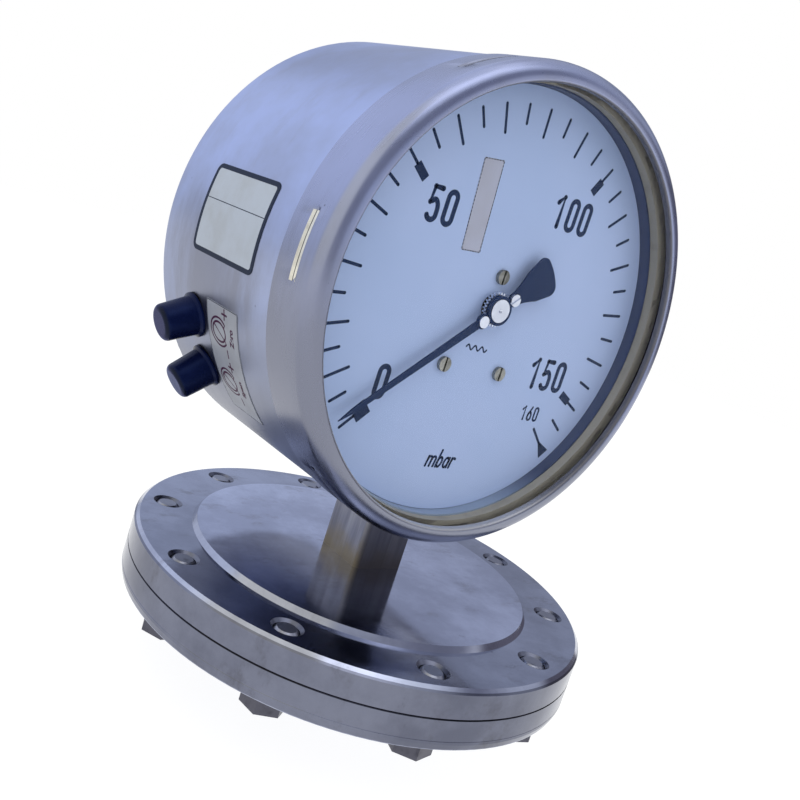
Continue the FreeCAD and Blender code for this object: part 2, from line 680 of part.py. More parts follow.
# square stem with a flat tongue for the movement plates
stem = new_body("stem")
stem_square = new_sketch(stem, "XY_Plane", "boss_top")
edge_near = "stem_width / 2 - stem_chamfer"
add_outline(stem_square, [
    ("stem_width / 2", "-(%s)" % edge_near), ("stem_width / 2", edge_near),
    (edge_near, "stem_width / 2"), ("-(%s)" % edge_near, "stem_width / 2"),
    ("-stem_width / 2", edge_near), ("-stem_width / 2", "-(%s)" % edge_near),
    ("-(%s)" % edge_near, "-stem_width / 2"), (edge_near, "-stem_width / 2"),
])
pad(stem, stem_square, "stem_shoulder")
stem_tongue = new_sketch(stem, "XY_Plane", "shoulder_top")
add_outline(stem_tongue, rectangle("0", "0", "stem_width", "tongue_thickness"))
pad(stem, stem_tongue, "tongue_length")
stem_tenon = new_sketch(stem, "XY_Plane", "chamber_roof")
add_circle(stem_tenon, "0", "0", "stem_tenon_diameter")
pad(stem, stem_tenon, "boss_top - chamber_roof")
stem_bore = new_sketch(stem, "XY_Plane", "tongue_top")
add_circle(stem_bore, "0", "0", "stem_bore")
pocket(stem, stem_bore)
tongue_holes = new_sketch(stem, "XZ_Plane", "-tongue_thickness")
for side in ("-screw_side", "screw_side"):
    add_circle(tongue_holes, side, "plate_screw_height", "tongue_hole_diameter")
pocket(stem, tongue_holes, "2 * tongue_thickness", reverse=True)

# bush that guides the push rod at the top of the stem
turned("rod_bush", [
    (half("rod_diameter") + " + rod_play", "tongue_top - bush_length"),
    (half("stem_bore"), "tongue_top - bush_length"),
    (half("stem_bore"), "tongue_top"),
    (half("rod_diameter") + " + rod_play", "tongue_top"),
])

# push rod with its foot on the diaphragm
turned("push_rod", [
    ("0", "flange_seam"),
    (half("foot_diameter"), "flange_seam"),
    (half("foot_diameter"), "flange_seam + foot_thickness"),
    (half("rod_diameter"), "flange_seam + foot_thickness"),
    (half("rod_diameter"), "rod_top"),
    ("0", "rod_top"),
])

# yoke on the rod: a flat head with a level slot for the pin of the sector
yoke = turned("rod_yoke", [
    ("0", "rod_top"),
    (half("rod_diameter"), "rod_top"),
    (half("rod_diameter"), "yoke_bottom - yoke_collar_height"),
    (half("yoke_collar_diameter"), "yoke_bottom - yoke_collar_height"),
    (half("yoke_collar_diameter"), "yoke_bottom"),
    ("0", "yoke_bottom"),
])
yoke_head = new_sketch(yoke, "XZ_Plane", "-sector_thickness / 2 - yoke_slot_play - yoke_thickness")
slot_middle = half("pin_side")
add_outline(yoke_head, [
    (slot_middle + " - yoke_width / 2", "yoke_bottom"), (slot_middle + " + yoke_width / 2", "yoke_bottom"),
    (slot_middle + " + yoke_width / 2", "pin_rest + yoke_rise"),
    (slot_middle + " - yoke_width / 2", "pin_rest + yoke_rise"),
])
yoke_slot = "sector_pin_diameter + 2 * yoke_slot_play"
add_outline(yoke_head, rectangle(slot_middle, "pin_rest", "yoke_slot_length", yoke_slot))
pad(yoke, yoke_head, "yoke_thickness")

# drum case: back, wall, neck and turned-in rim drawn from one sheet
drum = turned("case_drum", [
    ("0", "case_back"),
    ("case_radius", "case_back"),
    ("case_radius", "-neck_start"),
    (half("neck_diameter"), "-neck_start"),
    (half("neck_diameter"), "-rim_front"),
    (half("rim_inner_diameter"), "-rim_front"),
    (half("rim_inner_diameter"), "-rim_collar_end"),
    (half("rim_inner_diameter") + " + case_wall", "-rim_collar_end"),
    (half("rim_inner_diameter") + " + case_wall", "case_wall - rim_front"),
    (half("neck_diameter") + " - case_wall", "case_wall - rim_front"),
    (half("neck_diameter") + " - case_wall", "case_wall - neck_start"),
    ("case_inside", "case_wall - neck_start"),
    ("case_inside", "case_back - case_wall"),
    ("0", "case_back - case_wall"),
], role="XY_Plane", **CASE)
lug_sketch = new_sketch(drum, "XY_Plane")
add_outline(lug_sketch, [
    (half("neck_diameter") + " - case_wall / 2", "-rim_front"),
    (half("lug_diameter"), "-rim_front"),
    (half("lug_diameter"), "lug_thickness - rim_front"),
    (half("neck_diameter") + " - case_wall / 2", "lug_thickness - rim_front"),
])
lug = revolve(drum, lug_sketch, angle="lug_angle")
around(drum, [lug], "Y_Axis", "lug_count")
stem_hole = new_sketch(drum, "XY_Plane")
stem_room = "stem_width + 2 * stem_hole_play"
add_outline(stem_hole, rectangle("0", "0", stem_room, stem_room))
pocket(drum, stem_hole)


def radial_hole(body, angle, back, diameter):
    """Hole through the wall, outwards from the case axis."""
    sketch = new_sketch(body, "XY_Plane")
    sketch.AttachmentOffset = Placement(Vector(), Rotation(TURN_AXIS, 1))
    bind(sketch, "AttachmentOffset.Rotation.Angle", angle)
    add_circle(sketch, "0", back, diameter)
    pocket(body, sketch, reverse=True)


ADJUSTERS = {"zero": "zero_angle", "span": "span_angle"}
GLAND_TURN = "90"
for adjuster_turn in ADJUSTERS.values():
    radial_hole(drum, adjuster_turn, "adjuster_place", "adjuster_bush_diameter + 2 * adjuster_hole_play")
radial_hole(drum, GLAND_TURN, "gland_place", "gland_thread_diameter + 2 * gland_hole_play")
plug_hole = new_sketch(drum, "XZ_Plane")
add_circle(plug_hole, "0", "plug_high", "plug_hole_diameter")
pocket(drum, plug_hole)
soften(drum, "Fillet", "back_radius",
       lambda edge: is_circle(edge, size("case_radius"), "y", size("case_back")))

# blow-out plug in the back
turned("relief_plug", [
    ("0", "-case_wall - plug_lip_height"),
    (half("plug_lip_diameter") + " - plug_edge", "-case_wall - plug_lip_height"),
    (half("plug_lip_diameter"), "-case_wall"),
    (half("plug_hole_diameter"), "-case_wall"),
    (half("plug_hole_diameter"), "0"),
    (half("plug_head_diameter"), "0"),
    (half("plug_head_diameter"), "plug_head_height - plug_edge"),
    (half("plug_head_diameter") + " - plug_edge", "plug_head_height"),
    ("0", "plug_head_height"),
], back="case_back", height="dial_centre + plug_high", axis=BACK_AXIS, angle="-90")

# bayonet ring: skirt, rolled bead, turned-in lip, and slots pressed in behind the lugs
skirt = half("ring_diameter")
ring = turned("bayonet_ring", [
    (skirt, "-ring_end"),
    (skirt, "-ring_front"),
    (half("lip_diameter"), "-ring_front"),
    (half("lip_diameter"), "-lip_end"),
    (half("lip_diameter") + " + ring_sheet", "-lip_end"),
    (half("lip_diameter") + " + ring_sheet", "ring_sheet - ring_front"),
    (skirt + " - ring_sheet", "ring_sheet - ring_front"),
    (skirt + " - ring_sheet", "-ring_end"),
], role="XY_Plane", axis=TURN_AXIS, angle="slot_turn", **CASE)
soften(ring, "Fillet", "ring_bead_radius",
       lambda edge: is_circle(edge, size("ring_diameter") / 2, "y", -size("ring_front")))
soften(ring, "Fillet", "ring_bead_radius - ring_sheet",
       lambda edge: is_circle(edge, size("ring_diameter") / 2 - size("ring_sheet"), "y",
                              size("ring_sheet") - size("ring_front")))
soften(ring, "Fillet", "lip_radius",
       lambda edge: is_circle(edge, size("lip_diameter") / 2, "y", -size("ring_front")))
soften(ring, "Fillet", "lip_radius - ring_sheet",
       lambda edge: is_circle(edge, size("lip_diameter") / 2 + size("ring_sheet"), "y",
                              size("ring_sheet") - size("ring_front")))
dent_sketch = new_sketch(ring, "XY_Plane")
add_outline(dent_sketch, [
    (half("dent_inner_diameter"), "-slot_place - dent_width / 2"),
    (skirt + " - ring_sheet / 2", "-slot_place - dent_width / 2"),
    (skirt + " - ring_sheet / 2", "-slot_place + dent_width / 2"),
    (half("dent_inner_diameter"), "-slot_place + dent_width / 2"),
])
dent = revolve(ring, dent_sketch, angle="slot_angle")
slot_sketch = new_sketch(ring, "XY_Plane")
add_outline(slot_sketch, [
    (skirt + " - slot_depth", "-slot_place"),
    (skirt + " + ring_sheet", "-slot_place - slot_width"),
    (skirt + " + ring_sheet", "-slot_place + slot_width"),
])
slot = revolve(ring, slot_sketch, kind="Groove", angle="slot_angle")
around(ring, [dent, slot], "Y_Axis", "lug_count")

# window seal and pane
turned("window_gasket", [
    (half("gasket_inner_diameter"), "-glass_back"),
    (half("gasket_outer_diameter"), "-glass_back"),
    (half("gasket_outer_diameter"), "-rim_front"),
    (half("gasket_inner_diameter"), "-rim_front"),
], role="XY_Plane", **CASE)
turned("window_glass", [
    ("0", "-glass_back - glass_thickness"),
    (half("glass_diameter") + " - glass_chamfer", "-glass_back - glass_thickness"),
    (half("glass_diameter"), "-glass_back - glass_thickness + glass_chamfer"),
    (half("glass_diameter"), "-glass_back - glass_chamfer"),
    (half("glass_diameter") + " - glass_chamfer", "-glass_back"),
    ("0", "-glass_back"),
], role="XY_Plane", **CASE)

# dial plate with its posts and screws
DIAL_SPOTS = [
    ("0", "dial_screw_high"),
    ("-dial_screw_side", "-dial_screw_low"),
    ("dial_screw_side", "-dial_screw_low"),
]
dial_hole = "dial_shank_diameter + 2 * dial_shank_play"
dial = new_body("dial_plate", **CASE)
dial_sketch = new_sketch(dial, "XZ_Plane", "dial_rear")
add_circle(dial_sketch, "0", "0", "dial_diameter")
add_circle(dial_sketch, "0", "0", "dial_bore")
for across, up in DIAL_SPOTS:
    add_circle(dial_sketch, across, up, dial_hole)
pad(dial, dial_sketch, "dial_thickness")


def discs(body, spots, diameter, start, length):
    """Round pads towards the front, each from a level at a spot."""
    sketch = new_sketch(body, "XZ_Plane", start)
    for across, up in spots:
        add_circle(sketch, across, up, diameter)
    return pad(body, sketch, length)


def bores(body, spots, diameter, start, length):
    """Round holes towards the back, each from a level at a spot."""
    sketch = new_sketch(body, "XZ_Plane", start)
    for across, up in spots:
        add_circle(sketch, across, up, diameter)
    return pocket(body, sketch, length)


def driver_slots(body, spots, width, reach, start, depth):
    """Straight slots cut into round heads."""
    sketch = new_sketch(body, "XZ_Plane", start)
    for across, up in spots:
        add_outline(sketch, rectangle(across, up, width, reach))
    return pocket(body, sketch, depth)


dial_posts = new_body("dial_posts", **CASE)
discs(dial_posts, DIAL_SPOTS, "dial_post_diameter", "plate_outside", "dial_rear - plate_outside")
bores(dial_posts, DIAL_SPOTS, dial_hole, "dial_rear", "dial_shank_length")

dial_screws = new_body("dial_screws", **CASE)
discs(dial_screws, DIAL_SPOTS, "dial_head_diameter", "dial_front", "dial_head_height")
discs(dial_screws, DIAL_SPOTS, "dial_shank_diameter", "dial_front - dial_shank_length", "dial_shank_length")
driver_slots(dial_screws, DIAL_SPOTS, "dial_slot_width", "2 * dial_head_diameter",
             "dial_front + dial_head_height", "dial_slot_depth")

# movement plates on both sides of the tongue
SCREW_SPOTS = [("-screw_side", "plate_screw_height"), ("screw_side", "plate_screw_height")]
PILLAR_SPOTS = [("-pillar_side", "dial_centre + pillar_high"), ("pillar_side", "dial_centre + pillar_high")]
SECTOR_SPOT = ("-sector_offset", "sector_height")
ARBOR_SPOT = ("0", "dial_centre")
PLATES = {
    "front_plate": ("plate_inside", "arbor_nose_diameter"),
    "back_plate": ("-plate_outside", "pivot_diameter"),
}
for plate_label, (plate_start, shaft) in PLATES.items():
    plate = new_body(plate_label)
    plate_sketch = new_sketch(plate, "XZ_Plane", plate_start)
    wide = half("plate_width")
    plate_edge = "dial_centre + plate_top"
    add_outline(plate_sketch, [
        ("-(%s)" % wide, "plate_bottom + plate_corner"), (wide + " * -1 + plate_corner", "plate_bottom"),
        (wide + " - plate_corner", "plate_bottom"), (wide, "plate_bottom + plate_corner"),
        (wide, plate_edge + " - plate_corner"), (wide + " - plate_corner", plate_edge),
        (wide + " * -1 + plate_corner", plate_edge), ("-(%s)" % wide, plate_edge + " - plate_corner"),
    ])
    add_circle(plate_sketch, *ARBOR_SPOT, shaft + " + 2 * pivot_play")
    add_circle(plate_sketch, *SECTOR_SPOT, "pivot_diameter + 2 * pivot_play")
    for across, up in SCREW_SPOTS:
        add_circle(plate_sketch, across, up, "tongue_hole_diameter")
    for across, up in PILLAR_SPOTS:
        add_circle(plate_sketch, across, up, "pillar_pin_diameter")
    pad(plate, plate_sketch, "plate_thickness")

pillars = new_body("plate_pillars")
discs(pillars, PILLAR_SPOTS, "pillar_diameter", "-plate_inside", "tongue_thickness")
discs(pillars, PILLAR_SPOTS, "pillar_pin_diameter", "-plate_outside", "2 * plate_outside")

plate_screws = new_body("plate_screws")
discs(plate_screws, SCREW_SPOTS, "screw_head_diameter", "plate_outside", "screw_head_height")
discs(plate_screws, SCREW_SPOTS, "screw_shank_diameter", "-plate_outside", "2 * plate_outside")
discs(plate_screws, SCREW_SPOTS, "screw_head_diameter", "-plate_outside - screw_head_height",
      "screw_head_height")
driver_slots(plate_screws, SCREW_SPOTS, "dial_slot_width", "2 * screw_head_diameter",
             "plate_outside + screw_head_height", "dial_slot_depth")

PRESSURE_ANGLE = math.radians(20)
ADDENDUM = 0.9
DEDENDUM = 1.2
FLANK_STEPS = 4


def involute(angle):
    """Involute function of a pressure angle."""
    return math.tan(angle) - angle


def tooth_points(module, teeth, play, centre):
    """Outline of one involute tooth about a direction, as (turn, radius) pairs."""
    pitch = module * teeth / 2
    base = pitch * math.cos(PRESSURE_ANGLE)
    tip = pitch + ADDENDUM * module
    root = pitch - DEDENDUM * module
    half_turn = math.pi / (2 * teeth) - play / (4 * pitch) + involute(PRESSURE_ANGLE)
    start = max(base, root)
    radii = [start + (tip - start) * step / FLANK_STEPS for step in range(FLANK_STEPS + 1)]
    flank = [(half_turn - involute(math.acos(base / radius)), radius) for radius in radii]
    if root < base:
        flank.insert(0, (half_turn, root))
    rising = [(centre - turn, radius) for turn, radius in flank]
    falling = [(centre + turn, radius) for turn, radius in flank[::-1]]
    return rising + falling


def in_plane(turn, radius):
    """Point of the dial plane at a turn from the top."""
    return Vector(radius * math.sin(turn), 0, radius * math.cos(turn))


def plate_of(points, thickness):
    """Flat plate of an outline, half its thickness to each side of the outline's plane."""
    face = Part.Face(Part.makePolygon(points + points[:1]))
    face.translate(FRONT * (thickness / 2))
    return face.extrude(FRONT * -thickness)


def disc_of(diameter, thickness, centre=None):
    """Round plate, half its thickness to each side of the outline's plane."""
    middle = centre or Vector()
    return Part.makeCylinder(diameter / 2, thickness, middle + FRONT * (thickness / 2), FRONT * -1)


def gear_plate(module, teeth, play, thickness, bore):
    """Toothed wheel with a tooth towards the top."""
    step = 2 * math.pi / teeth
    points = []
    for number in range(teeth):
        tooth = tooth_points(module, teeth, play, number * step)
        points += [in_plane(turn, radius) for turn, radius in tooth]
    return plate_of(points, thickness).cut(disc_of(bore, 2 * thickness))


def place_shape(label, shape, across, back, height, turn):
    """Feature with a shape of its own, turned about Y and set in its place."""
    made = doc.addObject("Part::Feature", label)
    made.Label = label
    made.Shape = shape
    made.Placement = Placement(Vector(across, back, height), Rotation(TURN_AXIS, turn))
    return made


def sector_shape():
    """Toothed sector in the middle of its swing, about its pivot."""
    module = size("tooth_module")
    teeth = int(size("sector_teeth"))
    cut_teeth = int(size("sector_cut_teeth"))
    thickness = size("sector_thickness")
    step = 2 * math.pi / teeth
    aim = math.atan2(size("sector_offset"), size("sector_drop"))
    points = []
    for number in range(cut_teeth):
        centre = aim + (number - cut_teeth // 2 + 1 / 2) * step
        tooth = tooth_points(module, teeth, size("tooth_play"), centre)
        points += [in_plane(turn, radius) for turn, radius in tooth]
    hub = size("sector_hub_diameter")
    spread = cut_teeth / 2 * step
    points += [in_plane(aim + spread, hub / 2), in_plane(aim, 0), in_plane(aim - spread, hub / 2)]
    shape = plate_of(points, thickness)
    inner = module * teeth / 2 - DEDENDUM * module - size("sector_rim")
    inset = spread - size("sector_rim") / inner
    narrow = spread - size("sector_rim") / hub
    window = [in_plane(aim - inset, inner), in_plane(aim, inner), in_plane(aim + inset, inner),
              in_plane(aim + narrow, hub), in_plane(aim - narrow, hub)]
    shape = shape.cut(plate_of(window, 2 * thickness))
    shape = shape.fuse(disc_of(hub, thickness))
    arm = size("sector_arm")
    width = size("sector_arm_width")
    arm_points = [Vector(0, 0, -width / 2), Vector(arm, 0, -width / 2), Vector(arm, 0, width / 2),
                  Vector(0, 0, width / 2)]
    shape = shape.fuse(plate_of(arm_points, thickness))
    shape = shape.fuse(disc_of(width, thickness, Vector(arm, 0, 0)))
    shape = shape.cut(disc_of(size("sector_arbor_diameter"), 2 * thickness))
    shape = shape.cut(disc_of(size("sector_pin_diameter"), 2 * thickness, Vector(arm, 0, 0)))
    return shape.removeSplitter()


# sector, its arbor and its pin; the sector hangs at the low end of its swing
place_shape("sector_gear", sector_shape(), -size("sector_offset"), 0, size("sector_height"),
            size("sector_swing") / 2)
turned("sector_arbor", [
    ("0", "-plate_outside"),
    (half("pivot_diameter"), "-plate_outside"),
    (half("pivot_diameter"), "shoulder_gap - plate_inside"),
    (half("sector_arbor_diameter"), "shoulder_gap - plate_inside"),
    (half("sector_arbor_diameter"), "plate_inside - shoulder_gap"),
    (half("pivot_diameter"), "plate_inside - shoulder_gap"),
    (half("pivot_diameter"), "plate_outside"),
    ("0", "plate_outside"),
], role="XY_Plane", across="-sector_offset", height="sector_height")
sector_pin = new_body("sector_pin")
discs(sector_pin, [("pin_side", "pin_rest")], "sector_pin_diameter",
      "sector_thickness / 2 - sector_pin_length", "sector_pin_length")

# pointer shaft with the collar of the hairspring, and its pinion
turned("pointer_arbor", [
    ("0", "-blade_back"),
    (half("arbor_nose_diameter"), "-blade_back"),
    (half("arbor_nose_diameter"), "shoulder_gap - plate_inside"),
    (half("arbor_diameter"), "shoulder_gap - plate_inside"),
    (half("arbor_diameter"), "-spring_place"),
    (half("collet_diameter"), "-spring_place"),
    (half("collet_diameter"), "spring_width - spring_place"),
    (half("arbor_diameter"), "spring_width - spring_place"),
    (half("arbor_diameter"), "plate_inside - shoulder_gap"),
    (half("pivot_diameter"), "plate_inside - shoulder_gap"),
    (half("pivot_diameter"), "plate_outside + arbor_tail"),
    ("0", "plate_outside + arbor_tail"),
], role="XY_Plane", **CASE)
gear_ratio = size("sector_teeth") / size("pinion_teeth")
gear_aim = math.degrees(math.atan2(-size("sector_offset"), -size("sector_drop")))
place_shape("arbor_pinion",
            gear_plate(size("tooth_module"), int(size("pinion_teeth")), size("tooth_play"),
                       size("pinion_length"), size("arbor_diameter")),
            0, 0, size("dial_centre"), gear_aim - gear_ratio * size("sector_swing") / 2)


def spiral_side(start, pitch, half_turns):
    """Arcs of a flat spiral from half circles that grow by half a pitch each."""
    arcs = []
    radius = start
    spot = start
    for number in range(half_turns):
        way = -1 if number % 2 == 0 else 1
        radius = start + pitch / 2 * number + pitch / 4
        far = spot + way * 2 * radius
        middle = (spot + far) / 2
        arc = Part.Arc(Vector(spot, 0, 0), Vector(middle, 0, way * radius), Vector(far, 0, 0))
        arcs.append(arc.toShape())
        spot = far
    return arcs, spot


def hairspring_shape():
    """Strip wound as a flat spiral, from its collar to its anchor."""
    start = size("collet_diameter") / 2
    strip = size("spring_strip")
    pitch = size("spring_pitch")
    half_turns = int(size("spring_half_turns"))
    inner, inner_end = spiral_side(start, pitch, half_turns)
    outer, outer_end = spiral_side(start + strip, pitch, half_turns)
    closing = [Part.makeLine(Vector(start, 0, 0), Vector(start + strip, 0, 0)),
               Part.makeLine(Vector(inner_end, 0, 0), Vector(outer_end, 0, 0))]
    wire = Part.Wire(Part.__sortEdges__(inner + outer + closing))
    return Part.Face(wire).extrude(Vector(0, size("spring_width"), 0))


# hairspring and the stud that anchors it on the front plate
place_shape("hairspring", hairspring_shape(), 0, -size("spring_place"), size("dial_centre"), 0)
stud = new_body("hairspring_stud", **CASE)
stud_place = "spring_reach + spring_strip + stud_diameter / 2"
discs(stud, [(stud_place, "0")], "stud_diameter", "spring_place - spring_width",
      "plate_inside + spring_width - spring_place")

# pointer: hub with its toothed wheel, blade, trim screw and rivet
POINTER = {"axis": TURN_AXIS, "angle": "pointer_angle", "height": "dial_centre"}
turned("pointer_hub", [
    (half("arbor_nose_diameter"), "-hub_back"),
    (half("hub_sleeve_diameter"), "-hub_back"),
    (half("hub_sleeve_diameter"), "-blade_front - pivot_play"),
    (half("hub_disc_diameter"), "-blade_front - pivot_play"),
    (half("hub_disc_diameter"), "-hub_front"),
    (half("hub_dimple_diameter"), "-hub_front"),
    ("0", "hub_dimple_depth - hub_front"),
    ("0", "-blade_back"),
    (half("arbor_nose_diameter"), "-blade_back"),
], role="XY_Plane", **POINTER)
wheel_middle = -(size("wheel_front") + size("wheel_back")) / 2
place_shape("pointer_wheel",
            gear_plate(size("wheel_module"), int(size("wheel_teeth")), size("wheel_play"),
                       size("wheel_thickness"), size("hub_sleeve_diameter")),
            0, wheel_middle, size("dial_centre"), size("pointer_angle"))

blade = new_body("pointer_blade", **POINTER)
blade_sketch = new_sketch(blade, "XZ_Plane", "blade_back")
add_outline(blade_sketch, [
    ("-blade_root_width / 2", "0"), ("-tail_root_width / 2", "-collar_diameter / 4"),
    ("-tail_width / 2", "-tail_reach"), ("0", "-tail_reach - tail_bow"), ("tail_width / 2", "-tail_reach"),
    ("tail_root_width / 2", "-collar_diameter / 4"), ("blade_root_width / 2", "0"),
    ("blade_tip_width / 2", "blade_reach - blade_point"), ("0", "blade_reach"),
    ("-blade_tip_width / 2", "blade_reach - blade_point"),
])
pad(blade, blade_sketch, "blade_thickness")
tail_half = size("tail_width") / 2
soften(blade, "Fillet", "tail_radius",
       lambda edge: any(is_upright(edge, side * tail_half, -size("tail_reach")) for side in (-1, 1)))
soften(blade, "Fillet", "tail_bow_radius",
       lambda edge: is_upright(edge, 0, -size("tail_reach") - size("tail_bow")))
hollow_sketch = new_sketch(blade, "XZ_Plane", "blade_front + blade_thickness")
tail_run = "(tail_reach - 2 * tail_radius - trim_distance)"
tail_rise = "(tail_width / 2 - tail_root_width / 2)"
hollow_mid_across = "tail_root_width / 2 + %s / 2" % tail_rise
hollow_mid_up = "-trim_distance - %s / 2" % tail_run
tail_square = "(%s * %s + %s * %s)" % (tail_run, tail_run, tail_rise, tail_rise)
hollow_out = "sqrt(tail_hollow * tail_hollow - %s / 4)" % tail_square
tail_slant = "sqrt(%s)" % tail_square
hollow_across = "(%s + %s * %s / %s)" % (hollow_mid_across, hollow_out, tail_run, tail_slant)
hollow_up = "%s + %s * %s / %s" % (hollow_mid_up, hollow_out, tail_rise, tail_slant)
for side in ("", "-1 * "):
    add_circle(hollow_sketch, side + hollow_across, hollow_up, "2 * tail_hollow")
pocket(blade, hollow_sketch, "3 * blade_thickness")
discs(blade, [("0", "0")], "collar_diameter", "blade_back", "blade_thickness + collar_height")
discs(blade, [("0", "rivet_place")], "rivet_lug_diameter", "blade_back", "blade_thickness")
discs(blade, [("0", "-trim_distance")], "trim_lug_diameter", "blade_back", "blade_thickness")
bores(blade, [("0", "0")], "hub_disc_diameter + 4 * pivot_play", "blade_front + collar_height",
      "collar_height")
bores(blade, [("0", "0")], "hub_sleeve_diameter + 2 * pivot_play", "blade_front + collar_height", None)
bores(blade, [("0", "-trim_distance")], "trim_head_diameter + 4 * pivot_play", "blade_front + collar_height",
      "collar_height")
bores(blade, [("0", "rivet_place")], "rivet_shank_diameter", "blade_front + collar_height", None)
bores(blade, [("0", "-trim_distance")], "trim_shank_diameter + 2 * pivot_play",
      "blade_front + collar_height", None)

rivet = new_body("pointer_rivet", **POINTER)
discs(rivet, [("0", "rivet_place")], "rivet_head_diameter", "blade_front", "rivet_head_height")
discs(rivet, [("0", "rivet_place")], "rivet_shank_diameter", "blade_back", "blade_thickness")


def trim_screw_shape():
    """Slotted screw with the small pinion on its rear end, about its own axis at the blade's rear face."""
    thickness = size("wheel_thickness")
    module = size("wheel_module")
    teeth = int(size("trim_teeth"))
    step = 2 * math.pi / teeth
    points = []
    for number in range(teeth):
        centre = (number + 1 / 2) * step
        tooth = tooth_points(module, teeth, size("wheel_play"), centre)
        points += [in_plane(turn, radius) for turn, radius in tooth]
    pinion = plate_of(points, thickness)
    pinion.translate(FRONT * -(size("wheel_gap") + thickness / 2))
    front = size("blade_thickness") + size("pivot_play")
    shank_length = size("wheel_gap") + front
    shank = Part.makeCylinder(size("trim_shank_diameter") / 2, shank_length,
                              FRONT * -size("wheel_gap"), FRONT)
    head = Part.makeCylinder(size("trim_head_diameter") / 2, size("trim_head_height"),
                             FRONT * front, FRONT)
    reach = 2 * size("trim_head_diameter")
    depth = size("trim_slot_depth")
    width = size("trim_slot_width")
    slot_box = Part.makeBox(width, 2 * depth, reach)
    slot_box.translate(Vector(-width / 2, -front - size("trim_head_height") - depth, -reach / 2))
    return pinion.fuse([shank, head]).cut(slot_box).removeSplitter()


trim_turn = math.radians(size("pointer_angle"))
trim_away = in_plane(trim_turn, -size("trim_distance"))
place_shape("trim_screw", trim_screw_shape(), trim_away.x, -size("blade_back"),
            size("dial_centre") + trim_away.z, size("pointer_angle"))

# magnet on the shaft, circuit board with its sensor, posts, screws and terminals
turned("sensor_magnet", [
    (half("pivot_diameter"), "plate_outside + magnet_gap"),
    (half("magnet_diameter"), "plate_outside + magnet_gap"),
    (half("magnet_diameter"), "plate_outside + magnet_gap + magnet_length"),
    ("0", "plate_outside + magnet_gap + magnet_length"),
    ("0", "plate_outside + arbor_tail"),
    (half("pivot_diameter"), "plate_outside + arbor_tail"),
], role="XY_Plane", **CASE)
BOARD_SPOTS = [("%s board_post_side" % side, level) for side in ("-", "0 +")
               for level in ("board_post_high", "-board_post_low")]
board_hole = "screw_shank_diameter + 2 * dial_shank_play"
board = new_body("circuit_board", **CASE)
board_sketch = new_sketch(board, "XZ_Plane", "-board_rear")
add_outline(board_sketch, [
    (half("board_width") + " * -1", "-board_bottom"), (half("board_width"), "-board_bottom"),
    (half("board_width"), "board_top"), (half("board_width") + " * -1", "board_top"),
])
for across, up in BOARD_SPOTS:
    add_circle(board_sketch, across, up, board_hole)
pad(board, board_sketch, "board_thickness")
board_posts = new_body("board_posts", **CASE)
discs(board_posts, BOARD_SPOTS, "board_post_diameter", "-board_front", "board_gap")
post_bores = new_sketch(board_posts, "XZ_Plane", "-board_front")
for across, up in BOARD_SPOTS:
    add_circle(post_bores, across, up, board_hole)
pocket(board_posts, post_bores, "screw_shank_length", reverse=True)
board_screws = new_body("board_screws", **CASE)
discs(board_screws, BOARD_SPOTS, "screw_head_diameter", "-board_rear - screw_head_height",
      "screw_head_height")
discs(board_screws, BOARD_SPOTS, "screw_shank_diameter", "-board_rear", "screw_shank_length")
sensor = new_body("angle_sensor", **CASE)
sensor_sketch = new_sketch(sensor, "XZ_Plane", "-board_front")
add_outline(sensor_sketch, rectangle("0", "0", "sensor_width", "sensor_width"))
pad(sensor, sensor_sketch, "sensor_height")
terminal = new_body("terminal_block", across="terminal_side", height="dial_centre - terminal_low")
terminal_sketch = new_sketch(terminal, "XZ_Plane", "-board_rear - terminal_depth")
add_outline(terminal_sketch, rectangle("0", "0", "terminal_width", "terminal_height"))
pad(terminal, terminal_sketch, "terminal_depth")
clamp_sketch = new_sketch(terminal, "XZ_Plane", "-board_rear - terminal_depth")
for clamp_place in ("-terminal_pitch", "0", "terminal_pitch"):
    add_circle(clamp_sketch, clamp_place, "0", "terminal_hole")
pocket(terminal, clamp_sketch, "terminal_hole_depth", reverse=True)

